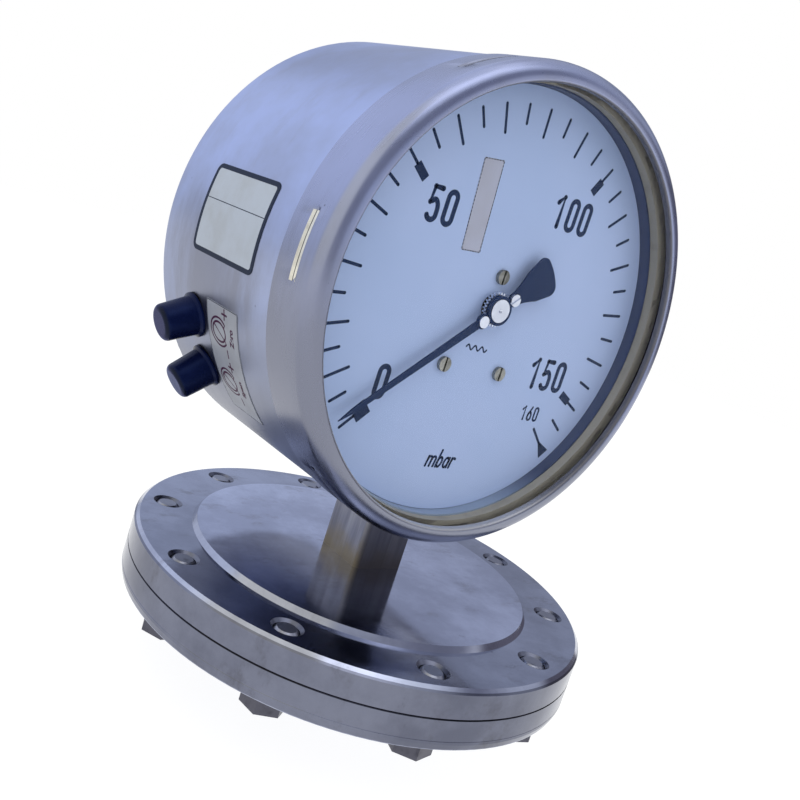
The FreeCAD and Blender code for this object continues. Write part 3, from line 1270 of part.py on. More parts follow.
# two adjusters on the left of the case: body with bush, turning screw, nut and rubber cap
trimmer_top = "case_inside - trimmer_seat"
nut_bottom = "case_radius + adjuster_nut_seat"
for name, adjuster_turn in ADJUSTERS.items():
    place = {"axis": TURN_AXIS, "angle": adjuster_turn, "back": "adjuster_place", "height": "dial_centre"}
    screw_hole = half("adjuster_screw_diameter") + " + adjuster_screw_play"
    screw_bottom = "case_radius + adjuster_screw_height - adjuster_screw_length"
    turned(name + "_trimmer", [
        ("0", trimmer_top + " - trimmer_length"),
        (half("trimmer_diameter"), trimmer_top + " - trimmer_length"),
        (half("trimmer_diameter"), trimmer_top),
        (half("adjuster_bush_diameter"), trimmer_top),
        (half("adjuster_bush_diameter"), "case_radius + adjuster_bush_height"),
        (screw_hole, "case_radius + adjuster_bush_height"),
        (screw_hole, screw_bottom + " - adjuster_screw_play"),
        ("0", screw_bottom + " - adjuster_screw_play"),
    ], **place)
    screw = turned(name + "_screw", [
        ("0", screw_bottom),
        (half("adjuster_screw_diameter"), screw_bottom),
        (half("adjuster_screw_diameter"), "case_radius + adjuster_screw_height"),
        ("0", "case_radius + adjuster_screw_height"),
    ], **place)
    screw_slot = new_sketch(screw, "XY_Plane", "case_radius + adjuster_screw_height")
    add_outline(screw_slot, rectangle("0", "0", "adjuster_slot_width", "2 * adjuster_screw_diameter"))
    pocket(screw, screw_slot, "adjuster_slot_depth")
    nut = new_body(name + "_nut", **place)
    nut_sketch = new_sketch(nut, "XY_Plane", nut_bottom)
    add_outline(nut_sketch, hexagon("adjuster_nut_flats"))
    add_circle(nut_sketch, "0", "0", "adjuster_bush_diameter")
    pad(nut, nut_sketch, "adjuster_nut_height")
    cap_bottom = "case_radius + cap_seat"
    grip = half("adjuster_bush_diameter") + " + cap_grip_play"
    cap = turned(name + "_cap", [
        (half("cap_cavity_diameter"), cap_bottom),
        (half("cap_rim_diameter"), cap_bottom),
        (half("cap_rim_diameter"), cap_bottom + " + cap_rim_height / 2"),
        (half("cap_foot_diameter"), cap_bottom + " + cap_rim_height"),
        (half("cap_top_diameter"), "case_radius + cap_height"),
        ("0", "case_radius + cap_height"),
        ("0", "case_radius + cap_height - cap_roof"),
        (grip, "case_radius + cap_height - cap_roof"),
        (grip, cap_bottom + " + cap_cavity_height"),
        (half("cap_cavity_diameter"), cap_bottom + " + cap_cavity_height"),
    ], **place)
    soften(cap, "Fillet", "cap_radius",
           lambda edge: is_circle(edge, size("cap_top_diameter") / 2, "z",
                                  size("case_radius") + size("cap_height")))

# cable entry on the right of the case
GLAND = {"axis": TURN_AXIS, "angle": GLAND_TURN, "back": "gland_place", "height": "dial_centre"}
gland_foot = "case_radius + gland_seat"
gland_face = gland_foot + " + gland_hex_height"
gland_end = gland_face + " + gland_neck_length"
gland = turned("gland_body", [
    (half("gland_bore"), "case_radius - gland_thread_length"),
    (half("gland_thread_diameter"), "case_radius - gland_thread_length"),
    (half("gland_thread_diameter"), gland_face),
    (half("gland_neck_diameter"), gland_face),
    (half("gland_neck_diameter"), gland_end),
    (half("gland_seal_diameter"), gland_end),
    (half("gland_seal_diameter"), gland_end + " - gland_seal_depth"),
    (half("gland_bore"), gland_end + " - gland_seal_depth"),
], **GLAND)
gland_hex = new_sketch(gland, "XY_Plane", gland_foot)
add_outline(gland_hex, hexagon("gland_flats"))
add_circle(gland_hex, "0", "0", "gland_thread_diameter - case_wall")
pad(gland, gland_hex, "gland_hex_height")
seal_start = gland_end + " - gland_seal_depth"
turned("gland_seal", [
    (half("cable_bore"), seal_start),
    (half("gland_seal_diameter"), seal_start),
    (half("gland_seal_diameter"), gland_end),
    (half("cable_bore"), gland_end),
], **GLAND)
nut_start = gland_face + " + gland_nut_gap"
gland_nut = turned("gland_nut", [
    (half("gland_neck_diameter") + " + gland_nut_play", nut_start),
    (half("gland_flats"), nut_start),
    (half("gland_flats"), nut_start + " + gland_nut_hex"),
    (half("gland_nut_top_diameter"), nut_start + " + gland_nut_length"),
    (half("gland_mouth"), nut_start + " + gland_nut_length"),
    (half("gland_mouth"), gland_end + " + gland_nut_play"),
    (half("gland_neck_diameter") + " + gland_nut_play", gland_end + " + gland_nut_play"),
], **GLAND)
nut_hex = new_sketch(gland_nut, "XY_Plane", nut_start)
add_outline(nut_hex, hexagon("gland_flats"))
add_circle(nut_hex, "0", "0", "gland_flats - case_wall")
pad(gland_nut, nut_hex, "gland_nut_hex")
locknut = new_body("gland_locknut", **GLAND)
locknut_sketch = new_sketch(locknut, "XY_Plane", "case_inside - locknut_seat - locknut_height")
add_outline(locknut_sketch, hexagon("gland_flats"))
add_circle(locknut_sketch, "0", "0", "gland_thread_diameter")
pad(locknut, locknut_sketch, "locknut_height")


def export_all():
    """Checks every object and writes each sub-part to its own file."""
    doc.recompute()
    os.makedirs("parts", exist_ok=True)
    for thing in doc.Objects:
        if "Invalid" in thing.State or "Error" in thing.State:
            raise RuntimeError("not built: %s %s" % (thing.Name, thing.State))
    for thing in doc.Objects:
        if thing.TypeId not in ("PartDesign::Body", "Part::Feature"):
            continue
        if thing.Shape.isNull() or not thing.Shape.isValid() or thing.Shape.Volume <= 0:
            raise RuntimeError("bad shape: " + thing.Label)
        thing.Shape.exportStep("parts/%s.step" % thing.Label)


export_all()
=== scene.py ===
"""Looks of a dial pressure transmitter: satin drum, bayonet ring, printed dial, turned flange."""
import json
import logging
import math
from dataclasses import dataclass
from enum import Enum
from typing import Any, Iterable, Mapping, Sequence, Union

import bmesh
import bpy
from mathutils import Matrix, Vector, noise

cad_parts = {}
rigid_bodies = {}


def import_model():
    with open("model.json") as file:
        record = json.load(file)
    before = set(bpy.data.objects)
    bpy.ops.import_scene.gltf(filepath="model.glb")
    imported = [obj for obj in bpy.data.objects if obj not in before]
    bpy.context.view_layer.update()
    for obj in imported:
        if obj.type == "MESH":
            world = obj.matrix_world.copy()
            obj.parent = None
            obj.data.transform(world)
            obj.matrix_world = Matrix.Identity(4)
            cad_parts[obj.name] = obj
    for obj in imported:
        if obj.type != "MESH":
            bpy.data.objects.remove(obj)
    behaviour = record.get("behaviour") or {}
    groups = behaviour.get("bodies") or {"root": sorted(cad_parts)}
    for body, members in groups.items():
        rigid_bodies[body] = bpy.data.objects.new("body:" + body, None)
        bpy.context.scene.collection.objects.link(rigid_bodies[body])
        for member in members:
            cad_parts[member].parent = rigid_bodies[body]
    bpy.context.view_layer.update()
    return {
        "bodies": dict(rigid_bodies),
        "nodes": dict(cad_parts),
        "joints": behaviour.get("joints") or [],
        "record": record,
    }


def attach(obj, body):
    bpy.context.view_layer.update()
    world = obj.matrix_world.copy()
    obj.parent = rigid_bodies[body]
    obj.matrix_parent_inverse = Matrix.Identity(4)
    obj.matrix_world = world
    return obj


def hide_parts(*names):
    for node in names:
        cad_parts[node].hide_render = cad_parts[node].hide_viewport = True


log = logging.getLogger("pressure_transmitter")

MM = 0.001
DIAL_HEIGHT = 152.8
DIAL_FACE = 22.8
SKIN_DEPTH = 0.0001
CUT_GAP = 1e-5
MERGE_GAP = 1e-4
FULL_TURN = 2 * math.pi
UPRIGHT = Matrix.Rotation(math.pi / 2, 3, "X")
IMAGE_SIDE = 800
Colour = tuple[float, float, float, float]
Point = tuple[float, float]
Number = Union[float, "Socket"]
SIGHT_RAYS = ("Is Camera Ray", "Is Glossy Ray", "Is Transmission Ray")


class Body(Enum):
    """Moving group that a piece rides on."""

    CASE = "case"
    RING = "ring"


class Socket:
    """Output of a shader node that takes part in Python arithmetic."""

    def __init__(self, tree: "ShaderTree", link: bpy.types.NodeSocket) -> None:
        """Keeps the tree and the node's output."""
        self.tree = tree
        self.link = link

    def __add__(self, other: Number) -> "Socket":
        """Sum."""
        return self.tree.maths("ADD", self, other)

    def __radd__(self, other: Number) -> "Socket":
        """Sum with a number on the left."""
        return self.tree.maths("ADD", other, self)

    def __sub__(self, other: Number) -> "Socket":
        """Difference."""
        return self.tree.maths("SUBTRACT", self, other)

    def __rsub__(self, other: Number) -> "Socket":
        """Difference with a number on the left."""
        return self.tree.maths("SUBTRACT", other, self)

    def __mul__(self, other: Number) -> "Socket":
        """Product."""
        return self.tree.maths("MULTIPLY", self, other)

    def __rmul__(self, other: Number) -> "Socket":
        """Product with a number on the left."""
        return self.tree.maths("MULTIPLY", other, self)

    def __truediv__(self, other: Number) -> "Socket":
        """Quotient."""
        return self.tree.maths("DIVIDE", self, other)

    def __rtruediv__(self, other: Number) -> "Socket":
        """Quotient with a number on the left."""
        return self.tree.maths("DIVIDE", other, self)

    def smooth(self, low: float, high: float) -> "Socket":
        """Soft step from 0 at low to 1 at high."""
        ends = {"Value": self, "From Min": low, "From Max": high}
        return self.tree.out("ShaderNodeMapRange", {"interpolation_type": "SMOOTHSTEP"}, ends)


class ShaderTree:
    """Node tree of a material or world, filled from Python expressions."""

    def __init__(self, tree: bpy.types.NodeTree) -> None:
        """Empties the tree."""
        self.tree = tree
        self.tree.nodes.clear()

    def node(self, kind: str, settings: Mapping[str, Any],
             inputs: Mapping[Any, Any]) -> bpy.types.Node:
        """Adds a node.

        Args:
            kind: Blender's type name of the node.
            settings: attributes that are set first.
            inputs: values or sockets by input name or number.

        Returns:
            The node.
        """
        made = self.tree.nodes.new(kind)
        for key, value in settings.items():
            setattr(made, key, value)
        for key, value in inputs.items():
            if isinstance(value, Socket):
                self.tree.links.new(value.link, made.inputs[key])
            else:
                made.inputs[key].default_value = value
        return made

    def out(self, kind: str, settings: Mapping[str, Any], inputs: Mapping[Any, Any],
            output: Union[int, str] = 0) -> Socket:
        """Adds a node and gives one of its outputs."""
        return Socket(self, self.node(kind, settings, inputs).outputs[output])

    def maths(self, operation: str, left: Number, right: Number = 0.0) -> Socket:
        """Adds a Math node."""
        return self.out("ShaderNodeMath", {"operation": operation}, {0: left, 1: right})

    def place(self) -> Socket:
        """Object coordinates, in metres."""
        return self.out("ShaderNodeTexCoord", {}, {}, "Object")

    def mapped(self, vector: Socket, location: Sequence[float] = (0, 0, 0),
               scale: Sequence[float] = (1, 1, 1)) -> Socket:
        """Vector that is scaled and then moved."""
        return self.out("ShaderNodeMapping", {}, {"Vector": vector, "Location": location, "Scale": scale})

    def length(self, vector: Socket) -> Socket:
        """Length of a vector."""
        return self.out("ShaderNodeVectorMath", {"operation": "LENGTH"}, {0: vector}, "Value")

    def split(self, vector: Socket) -> tuple[Socket, Socket, Socket]:
        """The three parts of a vector."""
        made = self.node("ShaderNodeSeparateXYZ", {}, {"Vector": vector})
        return tuple(Socket(self, made.outputs[part]) for part in range(3))

    def joined(self, x: Number, y: Number, z: Number) -> Socket:
        """Vector of three values."""
        return self.out("ShaderNodeCombineXYZ", {}, {"X": x, "Y": y, "Z": z})

    def noise(self, vector: Socket, scale: float, detail: float = 3.0, rough: float = 0.55) -> Socket:
        """Cloudy pattern between 0 and 1."""
        inputs = {"Vector": vector, "Scale": scale, "Detail": detail, "Roughness": rough}
        return self.out("ShaderNodeTexNoise", {}, inputs)

    def spots(self, vector: Socket, scale: float, radius: float) -> Socket:
        """Scattered dots, 1 inside a dot."""
        near = self.out("ShaderNodeTexVoronoi", {}, {"Vector": vector, "Scale": scale}, "Distance")
        return 1 - near.smooth(radius * 0.6, radius)

    def blend(self, factor: Number, first: Any, second: Any, mode: str = "MIX") -> Socket:
        """Colour between two colours.

        Args:
            factor: share of the second colour.
            first: colour or socket at 0.
            second: colour or socket at 1.
            mode: blend type of the Mix node.

        Returns:
            The mixed colour.
        """
        settings = {"data_type": "RGBA", "blend_type": mode, "clamp_factor": True}
        return self.out("ShaderNodeMix", settings, {0: factor, 6: first, 7: second}, 2)

    def bump(self, height: Socket, strength: float, distance: float = SKIN_DEPTH,
             under: Union[Socket, None] = None) -> Socket:
        """Normal that follows a height.

        Args:
            height: pattern of the relief.
            strength: share of the relief that shows.
            distance: depth of the relief in metres.
            under: normal that the relief lies on, if any.

        Returns:
            The new normal.
        """
        inputs = {"Height": height, "Strength": strength, "Distance": distance}
        if under is not None:
            inputs["Normal"] = under
        return self.out("ShaderNodeBump", {}, inputs)

    def seen_directly(self) -> Socket:
        """Mask of what is seen straight, in mirrors or through glass.

        Returns:
            1 for such rays and 0 for light on dull surfaces.
        """
        path = self.node("ShaderNodeLightPath", {}, {})
        eye, mirror, glass = (Socket(self, path.outputs[name]) for name in SIGHT_RAYS)
        return eye + mirror + glass

    def surface(self, shader: Socket, kind: str = "ShaderNodeOutputMaterial") -> None:
        """Ends the tree with a shader."""
        self.node(kind, {}, {"Surface": shader})

    def principled(self, inputs: Mapping[str, Any]) -> None:
        """Ends the tree with a Principled shader."""
        self.surface(self.out("ShaderNodeBsdfPrincipled", {}, inputs))


def rgb(red: float, green: float, blue: float) -> Colour:
    """Opaque linear colour."""
    return (red, green, blue, 1.0)


WHITE = rgb(1, 1, 1)


@dataclass(frozen=True)
class Finish:
    """Finish of a surface, made once under its name."""

    name: str

    def material(self) -> bpy.types.Material:
        """Finds or makes the material.

        Returns:
            The material of this finish.
        """
        found = bpy.data.materials.get("finish_" + self.name)
        if found is None:
            found = bpy.data.materials.new("finish_" + self.name)
            found.use_nodes = True
            self.paint(ShaderTree(found.node_tree))
        return found

    def paint(self, tree: ShaderTree) -> None:
        """Fills the node tree of the finish.

        Args:
            tree: empty node tree of the material.
        """
        raise NotImplementedError


@dataclass(frozen=True)
class SatinSteel(Finish):
    """Rolled stainless sheet, dulled, with smears, specks and a faint brushed grain around the drum."""

    light: Colour
    dark: Colour
    stain: Colour
    roughness: float
    specks: float
    # inside: painted shade, the colour of the inner face of the case's collar and of the ring's lip
    inside: Colour
    # painted reflection: the paler colour of that inner face towards its bottom
    inner_low_reflection: Colour
    inside_radius: float
    grain: float
    grime_place: tuple[float, float, float]
    grime_reach: float
    # under: painted shade, a darker and plainer colour towards the bottom of the drum and ring
    under: Colour
    inside_edge: float = 0.6
    inside_rear: tuple[float, float] = (-16.0, -12.0)
    under_low: float = -58.0
    under_high: float = -8.0
    grime: Colour = (0.20, 0.21, 0.265, 1.0)
    grime_share: float = 0.85
    speck: Colour = (0.05, 0.045, 0.05, 1.0)

    def painted_inner(self, tree: ShaderTree, across: Socket, up: Socket) -> Socket:
        """Colour of the inner face: painted shade, lighter towards the bottom with a painted reflection."""
        return tree.blend((up + across * 0.35).smooth(-0.062, -0.036), self.inner_low_reflection, self.inside)

    def grimed(self, tree: ShaderTree, place: Socket, smear: Socket, colour: Socket) -> Socket:
        """Adds the patch of grime.

        Args:
            tree: node tree of the finish.
            place: object coordinates.
            smear: pattern that makes the edge of the patch uneven.
            colour: colour without the patch.

        Returns:
            The colour with the patch.
        """
        spot = tuple(part * MM for part in self.grime_place)
        gap = tree.out("ShaderNodeVectorMath", {"operation": "DISTANCE"}, {0: place, 1: spot}, "Value")
        uneven = gap + (smear - 0.5) * 0.06
        reach = self.grime_reach * MM
        near = 1 - uneven.smooth(0.2 * reach, reach)
        return tree.blend(near * self.grime_share, colour, self.grime)

    def paint(self, tree: ShaderTree) -> None:
        """Fills the node tree of the finish.

        Args:
            tree: empty node tree of the material.
        """
        place = tree.place()
        centred = tree.mapped(place, (0, 0, -DIAL_HEIGHT * MM))
        across, back, up = tree.split(centred)
        radius = tree.length(tree.mapped(centred, scale=(1, 0, 1)))
        inner = 1 - radius.smooth(self.inside_radius * MM, (self.inside_radius + self.inside_edge) * MM)
        inner = inner * (1 - back.smooth(self.inside_rear[0] * MM, self.inside_rear[1] * MM))
        turn = tree.maths("ARCTAN2", across, up)
        grain = tree.noise(tree.joined(turn * 9, back * 1400, 0.0), 1.0, 3.0, 0.6)
        cloud = tree.noise(place, 17.0, 5.0, 0.62)
        smear = tree.noise(tree.mapped(place, scale=(1.0, 2.6, 0.7)), 34.0, 6.0, 0.68)
        fine = tree.noise(place, 1500.0, 2.0, 0.5)
        colour = tree.blend(cloud.smooth(0.32, 0.68), self.dark, self.light)
        colour = tree.blend(smear.smooth(0.52, 0.78) * 0.35, colour, self.stain)
        # painted shade: darker towards the bottom
        low = 1 - up.smooth(self.under_low * MM, self.under_high * MM)
        colour = tree.blend(low, colour, self.under)
        colour = self.grimed(tree, place, smear, colour)
        dots = tree.spots(place, 120.0, 0.055) * tree.noise(place, 23.0).smooth(0.5, 0.62)
        colour = tree.blend(dots * self.specks, colour, self.speck)
        # painted shade and painted reflection on the inner face
        colour = tree.blend(inner, colour, self.painted_inner(tree, across, up))
        rough = self.roughness + (cloud - 0.5) * 0.16 + (grain - 0.5) * 0.08 + (smear - 0.5) * 0.10
        height = (grain + fine * 0.2) * self.grain - dots * 2
        tree.principled({"Base Color": colour, "Metallic": 1 - inner * 0.7, "Roughness": rough,
                         "Normal": tree.bump(height, 0.12)})


@dataclass(frozen=True)
class TurnedSteel(Finish):
    """Stainless turned on a lathe about the stem, nearly polished, with tool rings and water stains."""

    light: Colour
    dark: Colour
    stain: Colour
    roughness: float
    stains: float = 0.7
    hole_circle: float = 72.5
    hole_count: int = 10
    hole_brim: float = 5.4
    boss_radius: float = 61.2
    scribe_height: float = 33.0
    scribe_depth: float = 0.16
    seam_height: float = 40.1
    rim_radius: float = 82.0
    edge: float = 0.1
    # painted light: the boss is brightened
    boss_painted_light: Colour = (1.5, 1.5, 1.5, 1.0)
    # painted shade on the chamfered brims of the bolt holes
    brim_painted_shade: Colour = (0.42, 0.42, 0.44, 1.0)
    # painted shade on the flanges' outer rim
    rim_painted_shade: Colour = (0.42, 0.42, 0.44, 1.0)
    seam_shade: Colour = (0.10, 0.10, 0.11, 1.0)
    dirt: Colour = (0.10, 0.10, 0.115, 1.0)
    speck: Colour = (0.04, 0.04, 0.05, 1.0)

    def holes(self, tree: ShaderTree, place: Socket, radius: Socket) -> Socket:
        """Mask of the chamfered brims of the bolt holes.

        Args:
            tree: node tree of the finish.
            place: object coordinates.
            radius: distance from the stem's axis.

        Returns:
            1 inside a brim and 0 outside.
        """
        across, back, _ = tree.split(place)
        half = math.pi / self.hole_count
        turn = tree.out("ShaderNodeMath", {"operation": "WRAP"},
                        {0: tree.maths("ARCTAN2", back, across), 1: half, 2: -half})
        flat = tree.joined(radius - self.hole_circle * MM, turn * (self.hole_circle * MM), 0.0)
        return 1 - tree.length(flat).smooth((self.hole_brim - 0.15) * MM, self.hole_brim * MM)

    def shaded(self, tree: ShaderTree, radius: Socket, height: Socket, colour: Socket) -> Socket:
        """Darkens the rim with painted shade, and the seam of the two flanges.

        Args:
            tree: node tree of the finish.
            radius: distance from the stem's axis.
            height: height above the ground.
            colour: colour before.

        Returns:
            The shaded colour.
        """
        # painted shade: the outer rim of the flanges is darkened
        side = radius.smooth((self.rim_radius - self.edge) * MM, self.rim_radius * MM)
        colour = tree.blend(side, colour, self.rim_painted_shade, "MULTIPLY")
        seam = height.smooth((self.seam_height - 0.36) * MM, (self.seam_height - 0.28) * MM)
        seam = seam * (1 - height.smooth(self.seam_height * MM, (self.seam_height + self.edge) * MM))
        return tree.blend(seam, colour, self.seam_shade, "MULTIPLY")

    def paint(self, tree: ShaderTree) -> None:
        """Fills the node tree of the finish.

        Args:
            tree: empty node tree of the material.
        """
        place = tree.place()
        radius = tree.length(tree.mapped(place, scale=(1, 1, 0)))
        height = tree.split(place)[2]
        rings = tree.noise(tree.joined(radius * 2200, height * 2200, 0.0), 1.0, 2.0, 0.6)
        bands = tree.noise(tree.joined(radius * 260, height * 260, 0.0), 1.0, 3.0, 0.6)
        cloud = tree.noise(place, 22.0, 6.0, 0.66)
        film = tree.noise(tree.mapped(place, scale=(1.0, 1.7, 1.0)), 46.0, 5.0, 0.7)
        colour = tree.blend(cloud.smooth(0.36, 0.66), self.dark, self.light)
        colour = tree.blend(film.smooth(0.54, 0.76) * self.stains, colour, self.stain)
        dirt = tree.noise(tree.mapped(place, scale=(1.0, 2.2, 1.0)), 62.0, 7.0, 0.78).smooth(0.60, 0.74)
        dirt = dirt * tree.noise(place, 19.0, 2.0).smooth(0.46, 0.60)
        colour = tree.blend(dirt * 0.6, colour, self.dirt)
        dots = tree.spots(place, 150.0, 0.05) * tree.noise(place, 31.0).smooth(0.52, 0.66)
        colour = tree.blend(dots * 0.6, colour, self.speck)
        # painted light: the boss is made brighter than the rest of the flange
        boss = 1 - radius.smooth((self.boss_radius - self.edge) * MM, self.boss_radius * MM)
        colour = tree.blend(boss, colour, self.boss_painted_light, "MULTIPLY")
        # painted shade: the chamfered brims of the bolt holes are darkened
        brim = self.holes(tree, place, radius)
        colour = tree.blend(brim, colour, self.brim_painted_shade, "MULTIPLY")
        colour = self.shaded(tree, radius, height, colour)
        uneven = (cloud - 0.5) * 0.16 + (film - 0.5) * 0.26 + (bands - 0.5) * 0.06
        scribe = 1 - height.smooth((self.scribe_height - 0.12) * MM, (self.scribe_height + 0.12) * MM)
        skin = tree.bump(rings * 0.7 + bands * 0.3 - dots, 0.07)
        tree.principled({"Base Color": colour, "Metallic": 1.0,
                         "Roughness": self.roughness + uneven + brim * 0.2,
                         "Normal": tree.bump(scribe, 1.0, self.scribe_depth * MM, skin)})


@dataclass(frozen=True)
class DrawnSteel(Finish):
    """Square bar drawn along the stem, streaked lengthwise and stained by heat at its foot, with painted
    shade on its front face.
    """

    light: Colour
    dark: Colour
    heat: Colour
    # scale: painted shade, the dark colour of the stem's front face
    scale: Colour
    foot: float
    reach: float
    half_width: float
    roughness: float = 0.36

    def paint(self, tree: ShaderTree) -> None:
        """Fills the node tree of the finish.

        Args:
            tree: empty node tree of the material.
        """
        place = tree.place()
        streak = tree.noise(tree.mapped(place, scale=(900, 900, 9)), 1.0, 4.0, 0.62)
        broad = tree.noise(tree.mapped(place, scale=(190, 190, 14)), 1.0, 4.0, 0.6)
        _, back, height = tree.split(place)
        patch = tree.noise(place, 95.0, 5.0, 0.65)
        near = 1 - (height + (patch - 0.5) * 0.016).smooth(self.foot, self.foot + self.reach)
        colour = tree.blend(broad.smooth(0.34, 0.68), self.dark, self.light)
        colour = tree.blend(near * 0.75, colour, self.heat)
        # painted shade: the front face is darkened as a painted dark reflection
        front = 1 - back.smooth(-self.half_width - 0.00005, -self.half_width + 0.0015)
        colour = tree.blend(front * 0.8, colour, self.scale)
        colour = tree.blend(streak.smooth(0.56, 0.72) * 0.35, colour, self.dark)
        tree.principled({"Base Color": colour, "Metallic": 1.0,
                         "Roughness": self.roughness + (streak - 0.5) * 0.3 + near * 0.1,
                         "Normal": tree.bump(streak + broad * 0.4, 0.25)})


@dataclass(frozen=True)
class PlainMetal(Finish):
    """Small metal piece with uneven polish and fine scratches."""

    colour: Colour
    shade: Colour
    roughness: float
    scale: float = 700.0

    def paint(self, tree: ShaderTree) -> None:
        """Fills the node tree of the finish.

        Args:
            tree: empty node tree of the material.
        """
        place = tree.place()
        cloud = tree.noise(place, self.scale * 0.3, 4.0, 0.6)
        scratch = tree.noise(tree.mapped(place, scale=(1.0, 0.2, 6.0)), self.scale, 3.0, 0.6)
        colour = tree.blend(cloud.smooth(0.35, 0.7), self.colour, self.shade)
        tree.principled({"Base Color": colour, "Metallic": 1.0,
                         "Roughness": self.roughness + (cloud - 0.5) * 0.2 + (scratch - 0.5) * 0.1,
                         "Normal": tree.bump(scratch, 0.12)})


@dataclass(frozen=True)
class BoltMetal(Finish):
    """Bolts with plain ends, painted shade on their lower part under the flanges and oily patches."""

    ends: Colour
    # painted shade: colour of the bolts below the flange seam
    lower_shade: Colour
    level: float
    oil: Colour = (0.03, 0.03, 0.04, 1.0)
    roughness: float = 0.34

    def paint(self, tree: ShaderTree) -> None:
        """Fills the node tree of the finish.

        Args:
            tree: empty node tree of the material.
        """
        place = tree.place()
        cloud = tree.noise(place, 210.0, 4.0, 0.6)
        scratch = tree.noise(tree.mapped(place, scale=(1.0, 1.0, 0.2)), 900.0, 3.0, 0.6)
        # painted shade: darker below the flange seam
        high = tree.split(place)[2].smooth((self.level - 1) * MM, self.level * MM)
        colour = tree.blend(high, self.lower_shade, self.ends)
        colour = tree.blend(cloud.smooth(0.5, 0.75) * 0.5, colour, self.oil)
        tree.principled({"Base Color": colour, "Metallic": 1.0,
                         "Roughness": self.roughness + (cloud - 0.5) * 0.2 + (scratch - 0.5) * 0.1,
                         "Normal": tree.bump(scratch, 0.15)})


@dataclass(frozen=True)
class MouldedRubber(Finish):
    """Moulded rubber or plastic with a fine skin, dust in its pores and rubbed places."""

    colour: Colour
    dust: Colour
    roughness: float
    amount: float = 0.25
    shine: float = 0.5
    tint: Colour = (1.0, 1.0, 1.0, 1.0)
    end_radius: float = 1000.0
    end: Colour = (0.012, 0.014, 0.022, 1.0)

    def paint(self, tree: ShaderTree) -> None:
        """Fills the node tree of the finish.

        Args:
            tree: empty node tree of the material.
        """
        place = tree.place()
        radius = tree.length(tree.mapped(place, (0, 0, -DIAL_HEIGHT * MM), (1, 0, 1)))
        ends = radius.smooth((self.end_radius - 1) * MM, self.end_radius * MM)
        skin = tree.noise(place, 2600.0, 2.0, 0.5)
        cloud = tree.noise(place, 190.0, 5.0, 0.6)
        colour = tree.blend(cloud.smooth(0.48, 0.8) * self.amount, self.colour, self.dust)
        colour = tree.blend(ends * (0.55 + cloud * 0.8), colour, self.end)
        tree.principled({"Base Color": colour, "Roughness": self.roughness + (cloud - 0.5) * 0.22,
                         "Metallic": ends * 0.4,
                         "Specular IOR Level": self.shine, "Specular Tint": self.tint,
                         "Normal": tree.bump(skin, 0.1)})


@dataclass(frozen=True)
class Paint(Finish):
    """Sprayed or printed paint with slight unevenness and dust."""

    colour: Colour
    shade: Colour
    roughness: float
    dust: float = 0.0
    shine: float = 0.4
    speck: Colour = (0.08, 0.08, 0.10, 1.0)

    def paint(self, tree: ShaderTree) -> None:
        """Fills the node tree of the finish.

        Args:
            tree: empty node tree of the material.
        """
        place = tree.place()
        cloud = tree.noise(place, 26.0, 3.0, 0.5)
        skin = tree.noise(place, 2200.0, 2.0, 0.5)
        dots = tree.spots(place, 210.0, 0.035) * tree.noise(place, 47.0).smooth(0.58, 0.66)
        colour = tree.blend(cloud.smooth(0.3, 0.75), self.colour, self.shade)
        colour = tree.blend(dots * self.dust, colour, self.speck)
        tree.principled({"Base Color": colour, "Roughness": self.roughness + (cloud - 0.5) * 0.1,
                         "Specular IOR Level": self.shine, "Normal": tree.bump(skin, 0.03)})


@dataclass(frozen=True)
class ClearPane(Finish):
    """Flat pane that lets the view straight through and mirrors a little at its faces."""

    tint: Colour
    gloss: float
    sheen: Colour = (0.9, 0.93, 1.0, 1.0)
    roughness: float = 0.03

    def paint(self, tree: ShaderTree) -> None:
        """Fills the node tree of the finish.

        Args:
            tree: empty node tree of the material.
        """
        place = tree.place()
        film = tree.noise(place, 30.0, 5.0, 0.65)
        through = tree.out("ShaderNodeBsdfTransparent", {}, {"Color": self.tint})
        mirror = tree.out("ShaderNodeBsdfGlossy", {}, {"Color": self.sheen, "Roughness": self.roughness})
        facing = tree.out("ShaderNodeLayerWeight", {}, {"Blend": 0.5}, "Facing")
        share = 0.003 + tree.maths("POWER", facing, 4.0) * self.gloss + film.smooth(0.55, 0.8) * 0.004
        tree.surface(tree.out("ShaderNodeMixShader", {}, {0: share, 1: through, 2: mirror}))


@dataclass(frozen=True)
class Film(Finish):
    """Paper or foil label, slightly soiled."""

    colour: Colour
    soil: Colour
    amount: float
    roughness: float = 0.5

    def paint(self, tree: ShaderTree) -> None:
        """Fills the node tree of the finish.

        Args:
            tree: empty node tree of the material.
        """
        place = tree.place()
        cloud = tree.noise(place, 60.0, 5.0, 0.65)
        fibre = tree.noise(tree.mapped(place, scale=(1.0, 1.0, 3.0)), 1300.0, 3.0, 0.6)
        colour = tree.blend(cloud.smooth(0.4, 0.75) * self.amount, self.colour, self.soil)
        tree.principled({"Base Color": colour, "Roughness": self.roughness + (cloud - 0.5) * 0.2,
                         "Normal": tree.bump(fibre, 0.08)})


@dataclass(frozen=True)
class BoardMask(Finish):
    """Solder mask over copper tracks."""

    colour: Colour
    track: Colour

    def paint(self, tree: ShaderTree) -> None:
        """Fills the node tree of the finish.

        Args:
            tree: empty node tree of the material.
        """
        lines = tree.out("ShaderNodeTexBrick", {"offset": 0.35, "squash": 1.6},
                         {"Vector": tree.place(), "Scale": 110.0, "Mortar Size": 0.06}, "Fac")
        colour = tree.blend(lines, self.colour, self.track)
        tree.principled({"Base Color": colour, "Roughness": 0.35, "Normal": tree.bump(lines, 0.2)})


